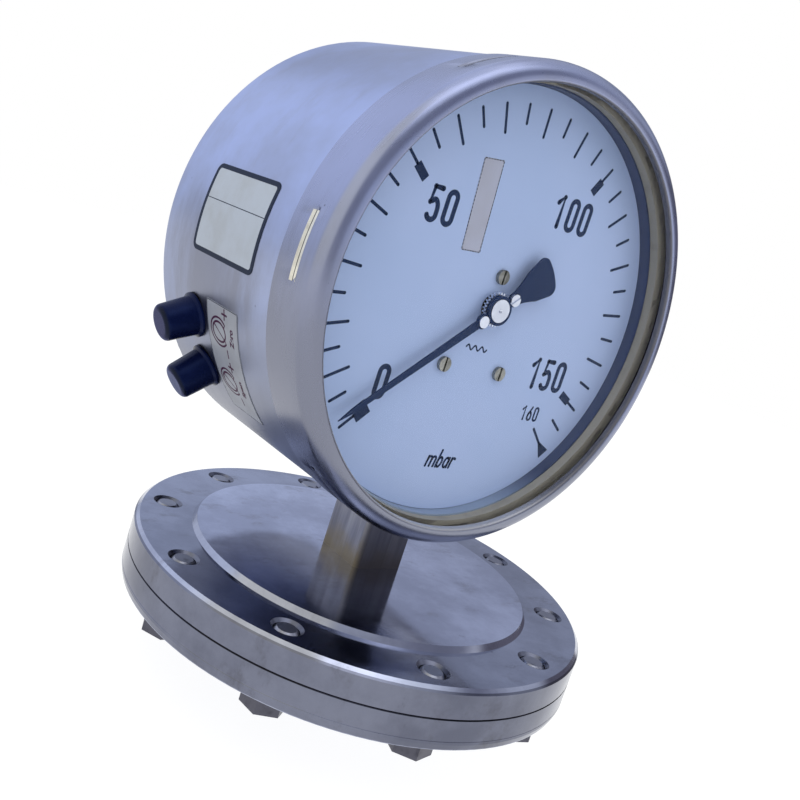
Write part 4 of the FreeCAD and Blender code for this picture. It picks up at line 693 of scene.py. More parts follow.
CASE_STEEL = SatinSteel(
    "case_steel", rgb(0.385, 0.455, 0.71), rgb(0.31, 0.35, 0.50), rgb(0.28, 0.28, 0.34),
    # under: painted shade towards the bottom of the drum
    roughness=0.35, specks=0.5, grain=0.35, under=rgb(0.185, 0.20, 0.265),
    # inside colours: painted shade and painted reflection on the collar inside the case
    inside=rgb(0.035, 0.055, 0.125), inner_low_reflection=rgb(0.27, 0.34, 0.45), inside_radius=73.4,
    grime_place=(-79.0, 24.0, 136.0), grime_reach=40.0)
RING_STEEL = SatinSteel(
    "ring_steel", rgb(0.325, 0.362, 0.54), rgb(0.275, 0.30, 0.42), rgb(0.25, 0.25, 0.29),
    # under: painted shade towards the bottom of the ring
    roughness=0.27, specks=0.7, grain=0.12, under=rgb(0.25, 0.265, 0.33),
    # inside colours: painted shade and painted reflection on the inside of the ring's lip
    inside=rgb(0.11, 0.11, 0.13), inner_low_reflection=rgb(0.34, 0.35, 0.39), inside_radius=74.0,
    grime_place=(-70.0, -25.0, 122.0), grime_reach=62.0)
FLANGE_STEEL = TurnedSteel(
    "flange_steel", rgb(0.45, 0.48, 0.60), rgb(0.30, 0.32, 0.41), rgb(0.20, 0.20, 0.23), roughness=0.13)
STEM_STEEL = DrawnSteel(
    "stem_steel", rgb(0.39, 0.39, 0.42), rgb(0.22, 0.22, 0.25), rgb(0.30, 0.24, 0.13),
    # scale: painted shade on the stem's front face
    scale=rgb(0.030, 0.031, 0.050), foot=0.0515, reach=0.013, half_width=0.011)
# the second colour is painted shade on the bolts under the flanges
BOLT_STEEL = BoltMetal("bolt_steel", rgb(0.30, 0.31, 0.37), rgb(0.10, 0.10, 0.125), level=40.0)
BRIGHT_STEEL = PlainMetal("bright_steel", rgb(0.80, 0.84, 0.92), rgb(0.62, 0.65, 0.72), 0.30, 260.0)
SCREW_METAL = PlainMetal("screw_metal", rgb(0.34, 0.34, 0.31), rgb(0.15, 0.15, 0.13), 0.3, 900.0)
PANE = ClearPane("window_glass", rgb(0.985, 0.99, 1.0), 0.35)
DIAL_PAINT = Paint("dial_white", rgb(0.405, 0.505, 0.75), rgb(0.375, 0.48, 0.72), 0.55, 0.5)
POINTER_PAINT = Paint("pointer_black", rgb(0.011, 0.026, 0.078), rgb(0.016, 0.033, 0.090), 0.5, 0.0, 0.12)
INK = Paint("dial_print", rgb(0.011, 0.025, 0.072), rgb(0.018, 0.033, 0.082), 0.6, 0.0, 0.12)
CAP_RUBBER = MouldedRubber(
    "cap_rubber", rgb(0.0026, 0.0052, 0.032), rgb(0.006, 0.011, 0.055), roughness=0.27,
    amount=0.6, shine=0.2, tint=rgb(0.25, 0.40, 1.0), end_radius=92.6)
SEAL_RUBBER = MouldedRubber("seal_rubber", rgb(0.015, 0.015, 0.018), rgb(0.06, 0.06, 0.06), 0.55)
GASKET_RUBBER = MouldedRubber("pale_rubber", rgb(0.30, 0.28, 0.23), rgb(0.18, 0.17, 0.15), 0.6, 0.6)
FRAME_INK = Paint("label_frame", rgb(0.010, 0.018, 0.045), rgb(0.016, 0.025, 0.055), 0.5, 0.0, 0.12)
LABEL_FILM = Film("label_film", rgb(0.43, 0.485, 0.57), rgb(0.34, 0.36, 0.38), 0.5, 0.4)
LEGEND_FILM = Film("legend_film", rgb(0.345, 0.37, 0.43), rgb(0.26, 0.26, 0.29), 0.6, 0.45)
LEGEND_RED = Paint("legend_red", rgb(0.050, 0.010, 0.045), rgb(0.070, 0.016, 0.052), 0.5, 0.0, 0.15)
TAPE_PAPER = Film("tape_paper", rgb(0.41, 0.43, 0.53), rgb(0.34, 0.335, 0.38), 0.6, 0.75)
TAPE_EDGE = Paint("tape_edge", rgb(0.050, 0.055, 0.075), rgb(0.09, 0.09, 0.11), 0.6, 0.0, 0.2)
# painted shadow along the slits; painted highlight on the left slot's lips; painted shade on the other lips
SLIT_PAINTED_SHADOW = PlainMetal("slit_shadow", rgb(0.05, 0.045, 0.05), rgb(0.02, 0.02, 0.02), 0.5)
SLIT_PAINTED_HIGHLIGHT = PlainMetal("slit_lip_painted_highlight", rgb(0.80, 0.77, 0.66), rgb(0.60, 0.57, 0.50), 0.30)
SLIT_PAINTED_SHADE = PlainMetal("slit_lip_painted_shade", rgb(0.36, 0.38, 0.48), rgb(0.26, 0.27, 0.34), 0.36)

NODE_FINISHES: dict[str, Finish] = {"dial_screws": SCREW_METAL}

SLOT_FINISHES: dict[str, Finish] = {
    "case_steel": CASE_STEEL,
    "ring_steel": RING_STEEL,
    "flange_steel": FLANGE_STEEL,
    "stem_steel": STEM_STEEL,
    "bolt_steel": BOLT_STEEL,
    "spring_steel": PlainMetal("spring_steel", rgb(0.52, 0.53, 0.55), rgb(0.40, 0.40, 0.42), 0.25),
    "turned_steel": PlainMetal("turned_steel", rgb(0.50, 0.50, 0.52), rgb(0.38, 0.38, 0.40), 0.24),
    "bright_steel": BRIGHT_STEEL,
    "brass": PlainMetal("brass", rgb(0.58, 0.40, 0.15), rgb(0.42, 0.27, 0.10), 0.28),
    "spring_bronze": PlainMetal("spring_bronze", rgb(0.50, 0.29, 0.12), rgb(0.36, 0.20, 0.09), 0.3),
    "seal_rubber": SEAL_RUBBER,
    "pale_rubber": GASKET_RUBBER,
    "cap_rubber": CAP_RUBBER,
    "window_glass": PANE,
    "dial_white": DIAL_PAINT,
    "pointer_black": POINTER_PAINT,
    "magnet_dark": PlainMetal("magnet_dark", rgb(0.12, 0.12, 0.13), rgb(0.07, 0.07, 0.075), 0.5),
    "chip_black": MouldedRubber("chip_black", rgb(0.02, 0.02, 0.022), rgb(0.05, 0.05, 0.05), 0.5),
    "board_green": BoardMask("board_green", rgb(0.012, 0.10, 0.035), rgb(0.03, 0.19, 0.07)),
    "terminal_grey": MouldedRubber("terminal_grey", rgb(0.16, 0.18, 0.19), rgb(0.24, 0.25, 0.25), 0.5),
    "gland_metal": PlainMetal("gland_metal", rgb(0.48, 0.48, 0.50), rgb(0.35, 0.35, 0.37), 0.25),
}


def settle(name: str, mesh: bmesh.types.BMesh, finish: Finish, body: Body,
           crease: float = 35.0) -> bpy.types.Object:
    """Turns a finished bmesh in millimetres into a piece that rides on a body.

    Args:
        name: name of the piece.
        mesh: its geometry, which is freed.
        finish: its surface.
        body: group that it moves with.
        crease: angle in degrees above which an edge stays sharp.

    Returns:
        The piece.
    """
    bmesh.ops.scale(mesh, vec=(MM, MM, MM), verts=mesh.verts)
    data = bpy.data.meshes.new(name)
    mesh.to_mesh(data)
    mesh.free()
    data.shade_smooth()
    data.set_sharp_from_angle(angle=math.radians(crease))
    data.materials.append(finish.material())
    piece = bpy.data.objects.new(name, data)
    bpy.context.scene.collection.objects.link(piece)
    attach(piece, body.value)
    log.info("%s: %d faces on %s", name, len(data.polygons), body.value)
    return piece


def raise_faces(mesh: bmesh.types.BMesh, faces: Sequence[bmesh.types.BMFace], height: float) -> None:
    """Extrudes faces straight up.

    Args:
        mesh: mesh that the faces belong to.
        faces: faces that are raised.
        height: how far they go up.
    """
    grown = bmesh.ops.extrude_face_region(mesh, geom=faces)["geom"]
    raised = [item for item in grown if isinstance(item, bmesh.types.BMVert)]
    bmesh.ops.translate(mesh, vec=(0, 0, height), verts=raised)


def onto_dial(mesh: bmesh.types.BMesh, depth: float) -> None:
    """Stands a flat print up in front of the dial.

    Args:
        mesh: print in the plane of X and Y about the dial's centre.
        depth: how far its foot stands in front of the drum's middle.
    """
    bmesh.ops.rotate(mesh, cent=(0, 0, 0), matrix=UPRIGHT, verts=mesh.verts)
    bmesh.ops.translate(mesh, vec=(0, -depth, DIAL_HEIGHT), verts=mesh.verts)


def spin_round(mesh: bmesh.types.BMesh, axis: Sequence[float], steps: int) -> None:
    """Spins all that a mesh holds once around an axis through the origin.

    Args:
        mesh: profile that is spun.
        axis: direction of the axis.
        steps: faces around the turn.
    """
    bmesh.ops.spin(mesh, geom=mesh.verts[:] + mesh.edges[:], cent=(0, 0, 0), axis=axis, angle=FULL_TURN,
                   steps=steps, use_merge=True, use_duplicate=False)


def solid_of(curve: bpy.types.Curve) -> bmesh.types.BMesh:
    """Mesh of a curve or text, which is removed.

    Args:
        curve: curve data in the plane of its own X and Y.

    Returns:
        A new bmesh with the curve's surface.
    """
    holder = bpy.data.objects.new("holder", curve)
    bpy.context.scene.collection.objects.link(holder)
    bpy.context.view_layer.update()
    data = bpy.data.meshes.new_from_object(holder.evaluated_get(bpy.context.evaluated_depsgraph_get()))
    mesh = bmesh.new()
    mesh.from_mesh(data)
    bpy.data.objects.remove(holder)
    bpy.data.curves.remove(curve)
    bpy.data.meshes.remove(data)
    return mesh


def arc(centre: Point, across: float, up: float, start: float, end: float, steps: int = 10) -> list[Point]:
    """Points of an elliptic arc.

    Args:
        centre: middle of the ellipse.
        across: half its width.
        up: half its height.
        start: first angle in degrees, anticlockwise from the right.
        end: last angle in degrees.
        steps: pieces of the arc.

    Returns:
        The points from start to end.
    """
    turns = [math.radians(start + (end - start) * step / steps) for step in range(steps + 1)]
    return [(centre[0] + across * math.cos(turn), centre[1] + up * math.sin(turn)) for turn in turns]


class Ink:
    """Printed strokes with round ends and filled blocks, gathered on a flat sheet."""

    corner: float = math.radians(25)
    flat: float = 1e-6

    def __init__(self, thickness: float) -> None:
        """Starts an empty print.

        Args:
            thickness: thickness of the print.
        """
        self.thickness = thickness
        self.strokes: list[tuple[list[Point], float, bool]] = []
        self.blocks: list[list[Point]] = []

    def stroke(self, points: Iterable[Point], width: float, closed: bool = False) -> None:
        """Adds a line of even width."""
        self.strokes.append((list(points), width, closed))

    def block(self, corners: Iterable[Point]) -> None:
        """Adds a filled outline."""
        self.blocks.append(list(corners))

    def _tubes(self, width: float) -> bmesh.types.BMesh:
        """Tubes along all strokes of one width.

        Args:
            width: width of the strokes.

        Returns:
            A new bmesh.
        """
        curve = bpy.data.curves.new("strokes", "CURVE")
        curve.dimensions = "3D"
        curve.bevel_depth = width / 2
        curve.bevel_resolution = 2
        for points, own, closed in self.strokes:
            if own != width:
                continue
            spline = curve.splines.new("POLY")
            spline.points.add(len(points) - 1)
            for knot, (across, up) in zip(spline.points, points):
                knot.co = (across, up, 0.0, 1.0)
            spline.use_cyclic_u = closed
        return solid_of(curve)

    def _joints(self) -> Iterable[tuple[Point, float]]:
        """Ends and sharp corners of the strokes.

        Returns:
            Points, each with the width of its stroke.
        """
        for points, width, closed in self.strokes:
            if not closed:
                yield points[0], width
                yield points[-1], width
            for before, here, after in zip(points, points[1:], points[2:]):
                first = Vector(here) - Vector(before)
                second = Vector(after) - Vector(here)
                if first.angle(second, 0.0) > self.corner:
                    yield here, width

    def mesh(self) -> bmesh.types.BMesh:
        """Flat mesh of the print, in the plane of X and Y with its foot at 0.

        Returns:
            A new bmesh.
        """
        whole = bmesh.new()
        for width in sorted({width for _, width, _ in self.strokes}):
            part = self._tubes(width)
            keep = bpy.data.meshes.new("strokes")
            part.to_mesh(keep)
            part.free()
            whole.from_mesh(keep)
            bpy.data.meshes.remove(keep)
        for (across, up), width in self._joints():
            bmesh.ops.create_uvsphere(whole, u_segments=12, v_segments=6, radius=width / 2,
                                      matrix=Matrix.Translation((across, up, 0.0)))
        for vert in whole.verts:
            vert.co.z = self.thickness if vert.co.z > self.flat else 0.0
        for corners in self.blocks:
            face = whole.faces.new([whole.verts.new((across, up, 0.0)) for across, up in corners])
            raise_faces(whole, [face], self.thickness)
        bmesh.ops.recalc_face_normals(whole, faces=whole.faces)
        return whole


def words(text: str, width: float, height: float, weight: float, thickness: float,
          lean: float = 0.0) -> bmesh.types.BMesh:
    """Plain lettering fitted to a box about the origin.

    Args:
        text: what is written.
        width: width of the box.
        height: height of the box.
        weight: growth of the strokes, as a share of the letter size.
        thickness: thickness of the print.
        lean: slant of the letters.

    Returns:
        A new bmesh in the plane of X and Y with its foot at 0.
    """
    curve = bpy.data.curves.new("words", "FONT")
    curve.body = text
    curve.offset = weight
    curve.extrude = 0.5
    curve.shear = lean
    mesh = solid_of(curve)
    low = [min(vert.co[part] for vert in mesh.verts) for part in range(3)]
    high = [max(vert.co[part] for vert in mesh.verts) for part in range(3)]
    home = (-(low[0] + high[0]) / 2, -(low[1] + high[1]) / 2, -low[2])
    wanted = (width, height, thickness)
    bmesh.ops.translate(mesh, vec=home, verts=mesh.verts)
    bmesh.ops.scale(mesh, vec=[size / (most - least) for size, least, most in zip(wanted, low, high)],
                    verts=mesh.verts)
    return mesh


@dataclass(frozen=True)
class Figure:
    """Number printed on the dial, with the place of its lower left corner and its height."""

    text: str
    left: float
    low: float
    height: float


FIGURES = (
    Figure("0", -38.6, -36.7, 11.9),
    Figure("50", -40.3, 20.8, 11.9),
    Figure("100", 13.9, 31.1, 11.9),
    Figure("150", 28.6, -24.9, 11.9),
    Figure("160", 31.4, -36.7, 5.7),
)


@dataclass
class DialPrint:
    """Scale, figures, unit and element sign printed on the dial."""

    lift: float = 0.02
    thickness: float = 0.05
    outer: float = 66.35
    long_inner: float = 57.44
    short_inner: float = 60.35
    block_inner: float = 54.8
    block_outer: float = 60.6
    block_width: float = 3.0
    line_width: float = 1.05
    first_angle: float = -138.26
    sweep: float = 272.24
    full_scale: int = 160
    even_from: int = 20
    start_step: float = 1.475
    zero_angle: float = -135.3
    zero_width: float = 5.4
    tick_step: int = 5
    long_step: int = 10
    figure_step: int = 50
    end_line: Point = (56.6, 65.5)
    end_wedge: Point = (63.6, 69.6)
    end_halves: Point = (0.4, 2.5)
    stroke_share: float = 0.15
    figure_width: float = 0.45
    figure_gap: float = 0.118
    one_width: float = 0.345
    one_gap: float = 0.21
    wave_start: Point = (-5.3, -14.4)
    wave_length: float = 9.6
    wave_swing: float = 0.8
    wave_count: int = 3
    wave_weight: float = 0.62
    unit_start: Point = (-6.2, -57.0)
    unit_weight: float = 0.92
    unit_slant: float = 0.2

    def angle(self, value: float) -> float:
        """Turn of a scale value from the top, with the start of the scale drawn together.

        Args:
            value: reading on the scale.

        Returns:
            Degrees, clockwise.
        """
        if value == 0:
            return self.zero_angle
        even = self.first_angle + self.sweep * max(value, self.even_from) / self.full_scale
        return even - self.start_step * max(0, self.even_from - value)

    def at(self, turn: float, radius: float, aside: float = 0.0) -> Point:
        """Point of the dial.

        Args:
            turn: degrees from the top.
            radius: distance from the dial's centre.
            aside: move at right angles to the radius.

        Returns:
            Place to the right of the centre and above it.
        """
        angle = math.radians(turn)
        return (radius * math.sin(angle) + aside * math.cos(angle),
                radius * math.cos(angle) - aside * math.sin(angle))

    def scale(self, ink: Ink) -> None:
        """Ticks of the scale, with blocks at the figures and a wedge at its end.

        Args:
            ink: print that takes the ticks.
        """
        for value in range(0, self.full_scale + 1, self.tick_step):
            turn = self.angle(value)
            inner = self.long_inner if value % self.long_step == 0 else self.short_inner
            if value == self.full_scale:
                self.wedge(ink, turn)
            elif value % self.figure_step == 0:
                ink.stroke([self.at(turn, self.block_outer), self.at(turn, self.outer)], self.line_width)
                half = (self.zero_width if value == 0 else self.block_width) / 2
                ink.block([self.at(turn, self.block_inner, -half), self.at(turn, self.block_inner, half),
                           self.at(turn, self.block_outer, half), self.at(turn, self.block_outer, -half)])
            else:
                ink.stroke([self.at(turn, inner), self.at(turn, self.outer)], self.line_width)

    def wedge(self, ink: Ink, turn: float) -> None:
        """Mark at full scale: a line that widens to the rim.

        Args:
            ink: print that takes the mark.
            turn: degrees of full scale from the top.
        """
        ink.stroke([self.at(turn, radius) for radius in self.end_line], self.line_width)
        ends = list(zip(self.end_wedge, self.end_halves))
        left = [self.at(turn, radius, -half) for radius, half in ends]
        right = [self.at(turn, radius, half) for radius, half in reversed(ends)]
        ink.block(left + right)

    def figure(self, ink: Ink, number: Figure) -> None:
        """Figures of even stroke on one line.

        Args:
            ink: print that takes the strokes.
            number: what is printed, of 0, 1, 5 and 6, and where.
        """
        height = number.height
        weight = height * self.stroke_share
        left, low = number.left + weight / 2, number.low + weight / 2
        for sign in number.text:
            wide = height * (self.one_width if sign == "1" else self.figure_width)
            for points, closed in self.strokes_of(sign, wide - weight, height - weight):
                ink.stroke([(left + across, low + up) for across, up in points], weight, closed)
            left += wide + height * (self.one_gap if sign == "1" else self.figure_gap)

    def strokes_of(self, sign: str, wide: float, tall: float) -> list[tuple[list[Point], bool]]:
        """Centre lines of one figure in a box from the origin.

        Args:
            sign: the figure.
            wide: width between the outer centre lines.
            tall: height between the outer centre lines.

        Returns:
            Lines as points, each with whether it is closed.
        """
        half = wide / 2
        if sign == "0":
            upper = arc((half, tall - half), half, half, 0, 180)
            return [(upper + arc((half, half), half, half, 180, 360), True)]
        if sign == "1":
            return [([(0.0, tall * 0.78), (wide, tall), (wide, 0.0)], False)]
        bowl = tall * 0.31
        if sign == "5":
            line = [(wide, tall), (wide * 0.12, tall), (0.0, tall * 0.52)]
            line += arc((half, bowl), half, bowl, 128, 90, 4)
            line += arc((half, bowl), half, bowl, 80, 0, 6)
            line += arc((half, half * 0.95), half, half * 0.95, 0, -160)
            return [(line, False)]
        loop = arc((half, bowl), half, bowl, 0, 180) + arc((half, half), half, half, 180, 360)
        stem = [(wide * 0.86, tall), (wide * 0.1, bowl * 1.35), (0.0, bowl)]
        return [(loop, True), (stem, False)]

    def wave(self, ink: Ink) -> None:
        """Sign for a corrugated diaphragm: a short wave.

        Args:
            ink: print that takes the sign.
        """
        steps = 48
        left, middle = self.wave_start
        points = []
        for step in range(steps + 1):
            part = step / steps
            swing = self.wave_swing * math.sin(part * self.wave_count * FULL_TURN)
            points.append((left + self.wave_length * part, middle + swing))
        ink.stroke(points, self.wave_weight)

    def unit(self, ink: Ink) -> None:
        """Unit of the scale in slanted letters of even stroke.

        Args:
            ink: print that takes the letters.
        """
        tall, ascender = 3.5, 6.0
        arch, arch_drop = 1.75, 0.9
        half = 0.95
        hook, hook_drop = 0.85, 0.95
        to_second, to_third, to_fourth = 4.75, 3.05, 3.1
        left, low = self.unit_start

        def draw(points: Sequence[Point]) -> None:
            """One stroke, slanted and moved to its place."""
            slanted = [(left + across + self.unit_slant * up, low + up) for across, up in points]
            ink.stroke(slanted, self.unit_weight)

        draw([(0.0, 0.0), (0.0, tall)])
        for begin in (0.0, arch):
            bend = arc((begin + arch / 2, tall - arch_drop), arch / 2, arch_drop, 150, 0, 8)
            draw([(begin, tall * 0.62)] + bend + [(begin + arch, 0.0)])
        left += to_second
        draw([(0.0, 0.0), (0.0, ascender)])
        draw(arc((half, tall / 2), half, tall / 2, 180, -180, 20))
        left += to_third
        draw(arc((half, tall / 2), half, tall / 2, 0, 360, 20))
        draw([(2 * half, tall), (2 * half, 0.0)])
        left += to_fourth
        draw([(0.0, 0.0), (0.0, tall)])
        draw([(0.0, tall * 0.6)] + arc((hook, tall - hook_drop), hook, hook_drop, 160, 50, 6))

    def build(self) -> None:
        """Prints everything and sets it on the dial."""
        ink = Ink(self.thickness)
        self.scale(ink)
        for number in FIGURES:
            self.figure(ink, number)
        self.wave(ink)
        self.unit(ink)
        mesh = ink.mesh()
        onto_dial(mesh, DIAL_FACE + self.lift)
        settle("dial_print", mesh, INK, Body.CASE, crease=20.0)


@dataclass
class DialTag:
    """Bare strip of paper tape with pinked edges on the dial."""

    lift: float = 0.02
    thickness: float = 0.03
    corners: tuple[Point, ...] = ((-21.15, 15.6), (-13.09, 16.16), (-15.2, 46.19), (-23.63, 45.11))
    columns: int = 12
    rows: int = 40
    pinking: float = 0.16
    ripple: float = 0.01
    nick_step: float = 1.15
    nick_width: float = 0.42
    nick_reach: float = 0.18
    nick_change: float = 0.14
    nick_inset: float = 0.012

    def build(self) -> None:
        """Cuts the strip and sets it on the dial."""
        depth = DIAL_FACE + self.lift + self.thickness
        mesh = bmesh.new()
        bmesh.ops.create_grid(mesh, x_segments=self.columns, y_segments=self.rows, size=0.5)
        for vert in mesh.verts:
            across, up = vert.co.x + 0.5, vert.co.y + 0.5
            low = Vector(self.corners[0]).lerp(Vector(self.corners[1]), across)
            high = Vector(self.corners[3]).lerp(Vector(self.corners[2]), across)
            spot = low.lerp(high, up)
            if vert.is_boundary:
                spot += Vector((1, 1)) * noise.noise(Vector((spot.x, spot.y, 0)) * 3.1) * self.pinking
            ripple = self.ripple * noise.noise(Vector((spot.x, spot.y, 4)) * 0.35)
            vert.co = (spot.x, ripple - depth, DIAL_HEIGHT + spot.y)
        bmesh.ops.recalc_face_normals(mesh, faces=mesh.faces)
        if next(iter(mesh.faces)).normal.y > 0:
            bmesh.ops.reverse_faces(mesh, faces=mesh.faces)
        settle("dial_tag", mesh, TAPE_PAPER, Body.CASE)
        self.pinks()

    def pinks(self) -> None:
        """Dark nicks along the edge of the strip."""
        ink = Ink(self.thickness)
        middle = sum((Vector(corner) for corner in self.corners), Vector((0, 0))) / len(self.corners)
        for start, end in zip(self.corners, self.corners[1:] + self.corners[:1]):
            first, last = Vector(start), Vector(end)
            count = int((last - first).length / self.nick_step)
            for number in range(count):
                spot = first.lerp(last, (number + 0.5) / count)
                spot = spot.lerp(middle, self.nick_inset)
                uneven = self.nick_change * noise.noise(Vector((spot.x, spot.y, 9)) * 5)
                along = (last - first).normalized() * (self.nick_reach + uneven)
                ink.stroke([tuple(spot - along), tuple(spot + along)], self.nick_width)
        mesh = ink.mesh()
        onto_dial(mesh, DIAL_FACE + self.lift + 2 * self.thickness)
        settle("dial_tag_edge", mesh, TAPE_EDGE, Body.CASE)


@dataclass
class DrumLabels:
    """Bare framed plate label and the legend of the two adjusters, both wrapped on the drum."""

    radius: float = 80.0
    lift: float = 0.03
    frame_lift: float = 0.05
    thickness: float = 0.08
    ink_thickness: float = 0.03
    sign_aside: float = -2.6
    sign_weight: float = 0.75
    head: Point = (4.3, 3.4)
    head_weight: float = 0.78
    slot: Point = (3.1, -2.0)
    slot_weight: float = 0.62
    arrow: Point = (5.7, 4.9)
    arrow_gap: float = 42.0
    arrow_weight: float = 0.72
    barbs: tuple[Point, Point] = ((-1.5, 0.9), (-0.7, -1.3))
    barb_weight: float = 0.6
    plus: Point = (1.7, 6.9)
    plus_half: float = 1.6
    minus: Point = (-8.0, -5.5)
    minus_weight: float = 0.7
    corner_steps: int = 6
    word_weight: float = 0.045
    word_size: Point = (6.4, 2.7)
    word_aside: float = 5.9

    def wrap(self, mesh: bmesh.types.BMesh, turn: float, back: float, lift: float) -> None:
        """Bends a flat sheet around the drum.

        Args:
            mesh: sheet with X along the drum to the front and Y around it to the top.
            turn: angle of the sheet's origin from the top.
            back: place of the sheet's origin along the drum.
            lift: height of the sheet above the drum.
        """
        for vert in mesh.verts:
            angle = math.radians(turn) + vert.co.y / self.radius
            reach = self.radius + lift + vert.co.z
            vert.co = (reach * math.sin(angle), back - vert.co.x, DIAL_HEIGHT + reach * math.cos(angle))
        bmesh.ops.recalc_face_normals(mesh, faces=mesh.faces)

    def sheet(self, long: float, tall: float, corner: float) -> bmesh.types.BMesh:
        """Flat sheet with rounded corners about the origin.

        Args:
            long: size along the drum.
            tall: size around the drum.
            corner: radius of its corners.

        Returns:
            A new bmesh with one face.
        """
        mesh = bmesh.new()
        bmesh.ops.create_grid(mesh, x_segments=1, y_segments=1, size=0.5)
        bmesh.ops.scale(mesh, vec=(long, tall, 1), verts=mesh.verts)
        bmesh.ops.bevel(mesh, geom=mesh.verts[:], offset=corner, affect="VERTICES",
                        segments=self.corner_steps, profile=0.5, material=-1)
        return mesh

    def slice(self, mesh: bmesh.types.BMesh, tall: float, step: float = 1.5) -> None:
        """Cuts a sheet into strips so that it can bend.

        Args:
            mesh: flat sheet.
            tall: size around the drum.
            step: width of a strip.
        """
        count = int(tall / step)
        for number in range(1, count):
            place = -tall / 2 + tall * number / count
            bmesh.ops.bisect_plane(mesh, geom=mesh.verts[:] + mesh.edges[:] + mesh.faces[:], dist=CUT_GAP,
                                   plane_co=(0, place, 0), plane_no=(0, 1, 0))

    def border(self, long: float, tall: float, corner: float, width: float) -> bmesh.types.BMesh:
        """Flat frame with rounded corners about the origin.

        Args:
            long: outer size along the drum.
            tall: outer size around the drum.
            corner: radius of its outer corners.
            width: width of its bars.

        Returns:
            A new bmesh.
        """
        mesh = self.sheet(long, tall, corner)
        made = bmesh.ops.inset_region(mesh, faces=mesh.faces[:], thickness=width, use_even_offset=True,
                                      use_boundary=True)
        inner = [face for face in mesh.faces if face not in made["faces"]]
        bmesh.ops.delete(mesh, geom=inner, context="FACES")
        return mesh

    def lay(self, mesh: bmesh.types.BMesh, tall: float, turn: float, back: float, lift: float) -> None:
        """Gives a flat sheet its thickness and bends it around the drum.

        Args:
            mesh: flat sheet.
            tall: length over which it is cut into strips.
            turn: angle of the sheet's origin from the top.
            back: place of the sheet's origin along the drum.
            lift: height of the sheet above the drum.
        """
        self.slice(mesh, tall)
        raise_faces(mesh, mesh.faces[:], self.thickness)
        self.wrap(mesh, turn, back, lift)

    def plate_label(self) -> None:
        """Pale label with a dark rounded frame and a thin rule."""
        long, tall, turn, back = 40.6, 29.6, -86.95, 18.6
        frame, overlap = 1.6, 0.2
        rule_place, rule_weight, rule_parts = 3.0, 0.28, 8
        film = self.sheet(long - 2 * frame + overlap, tall - 2 * frame + overlap, 1.0)
        self.lay(film, tall, turn, back, self.lift)
        settle("plate_label_film", film, LABEL_FILM, Body.CASE)
        border = self.border(long, tall, 2.6, frame)
        self.lay(border, tall, turn, back, self.frame_lift)
        settle("plate_label_frame", border, FRAME_INK, Body.CASE)
        ink = Ink(self.ink_thickness)
        start = frame + overlap - long / 2
        ink.stroke([(start - 2 * start * part / rule_parts, rule_place) for part in range(rule_parts + 1)],
                   rule_weight)
        rule = ink.mesh()
        self.wrap(rule, turn, back, self.lift + self.thickness)
        settle("plate_label_rule", rule, FRAME_INK, Body.CASE)

    def adjuster_sign(self, red: Ink, up: float) -> None:
        """Sign of one adjuster: slotted screw, turning arrow, plus and minus.

        Args:
            red: print that takes the sign.
            up: place of the sign around the drum.
        """
        middle = Vector((self.sign_aside, up))
        slot = Vector(self.slot)
        red.stroke(arc(middle, *self.head, 0, 360, 28)[:-1], self.head_weight, True)
        red.stroke([tuple(middle - slot), tuple(middle + slot)], self.slot_weight)
        red.stroke(arc(middle, *self.arrow, self.arrow_gap, 360 - self.arrow_gap, 28), self.arrow_weight)
        turn = math.radians(self.arrow_gap)
        for side in (1, -1):
            tip = middle + Vector((self.arrow[0] * math.cos(turn), side * self.arrow[1] * math.sin(turn)))
            first, last = (tip + Vector((aside, side * rise)) for aside, rise in self.barbs)
            red.stroke([tuple(first), tuple(tip), tuple(last)], self.barb_weight)
        aside, level, half = self.plus[0], up + self.plus[1], self.plus_half
        red.stroke([(aside - half, level), (aside + half, level)], self.sign_weight)
        red.stroke([(aside, level - half), (aside, level + half)], self.sign_weight)
        red.stroke([(aside, up + end) for end in self.minus], self.minus_weight)

    def adjuster_legend(self) -> None:
        """Pale legend beside the caps with a sign and a word for each adjuster."""
        long, tall, turn, back = 21.2, 41.4, -122.1, 15.0
        inset = 0.3
        film = self.sheet(long, tall, 0.9)
        self.lay(film, tall, turn, back, self.lift)
        settle("legend_film", film, LEGEND_FILM, Body.CASE)
        border = self.border(long - inset, tall - inset, 0.8, 0.22)
        self.lay(border, tall, turn, back, self.frame_lift)
        settle("legend_border", border, FRAME_INK, Body.CASE)
        red = Ink(self.ink_thickness)
        along = Matrix.Rotation(math.pi / 2, 3, "Z")
        for word, angle in (("Zero", -114.1), ("Span", -127.4)):
            up = self.radius * math.radians(angle - turn)
            self.adjuster_sign(red, up)
            letters = words(word, *self.word_size, self.word_weight, self.ink_thickness)
            bmesh.ops.rotate(letters, cent=(0, 0, 0), matrix=along, verts=letters.verts)
            bmesh.ops.translate(letters, vec=(self.word_aside, up, 0), verts=letters.verts)
            self.wrap(letters, turn, back, self.lift + self.thickness)
            settle("legend_word_" + word.lower(), letters, LEGEND_RED, Body.CASE)
        signs = red.mesh()
        self.wrap(signs, turn, back, self.lift + self.thickness)
        settle("legend_signs", signs, LEGEND_RED, Body.CASE)

    def build(self) -> None:
        """Makes both labels."""
        self.plate_label()
        self.adjuster_legend()


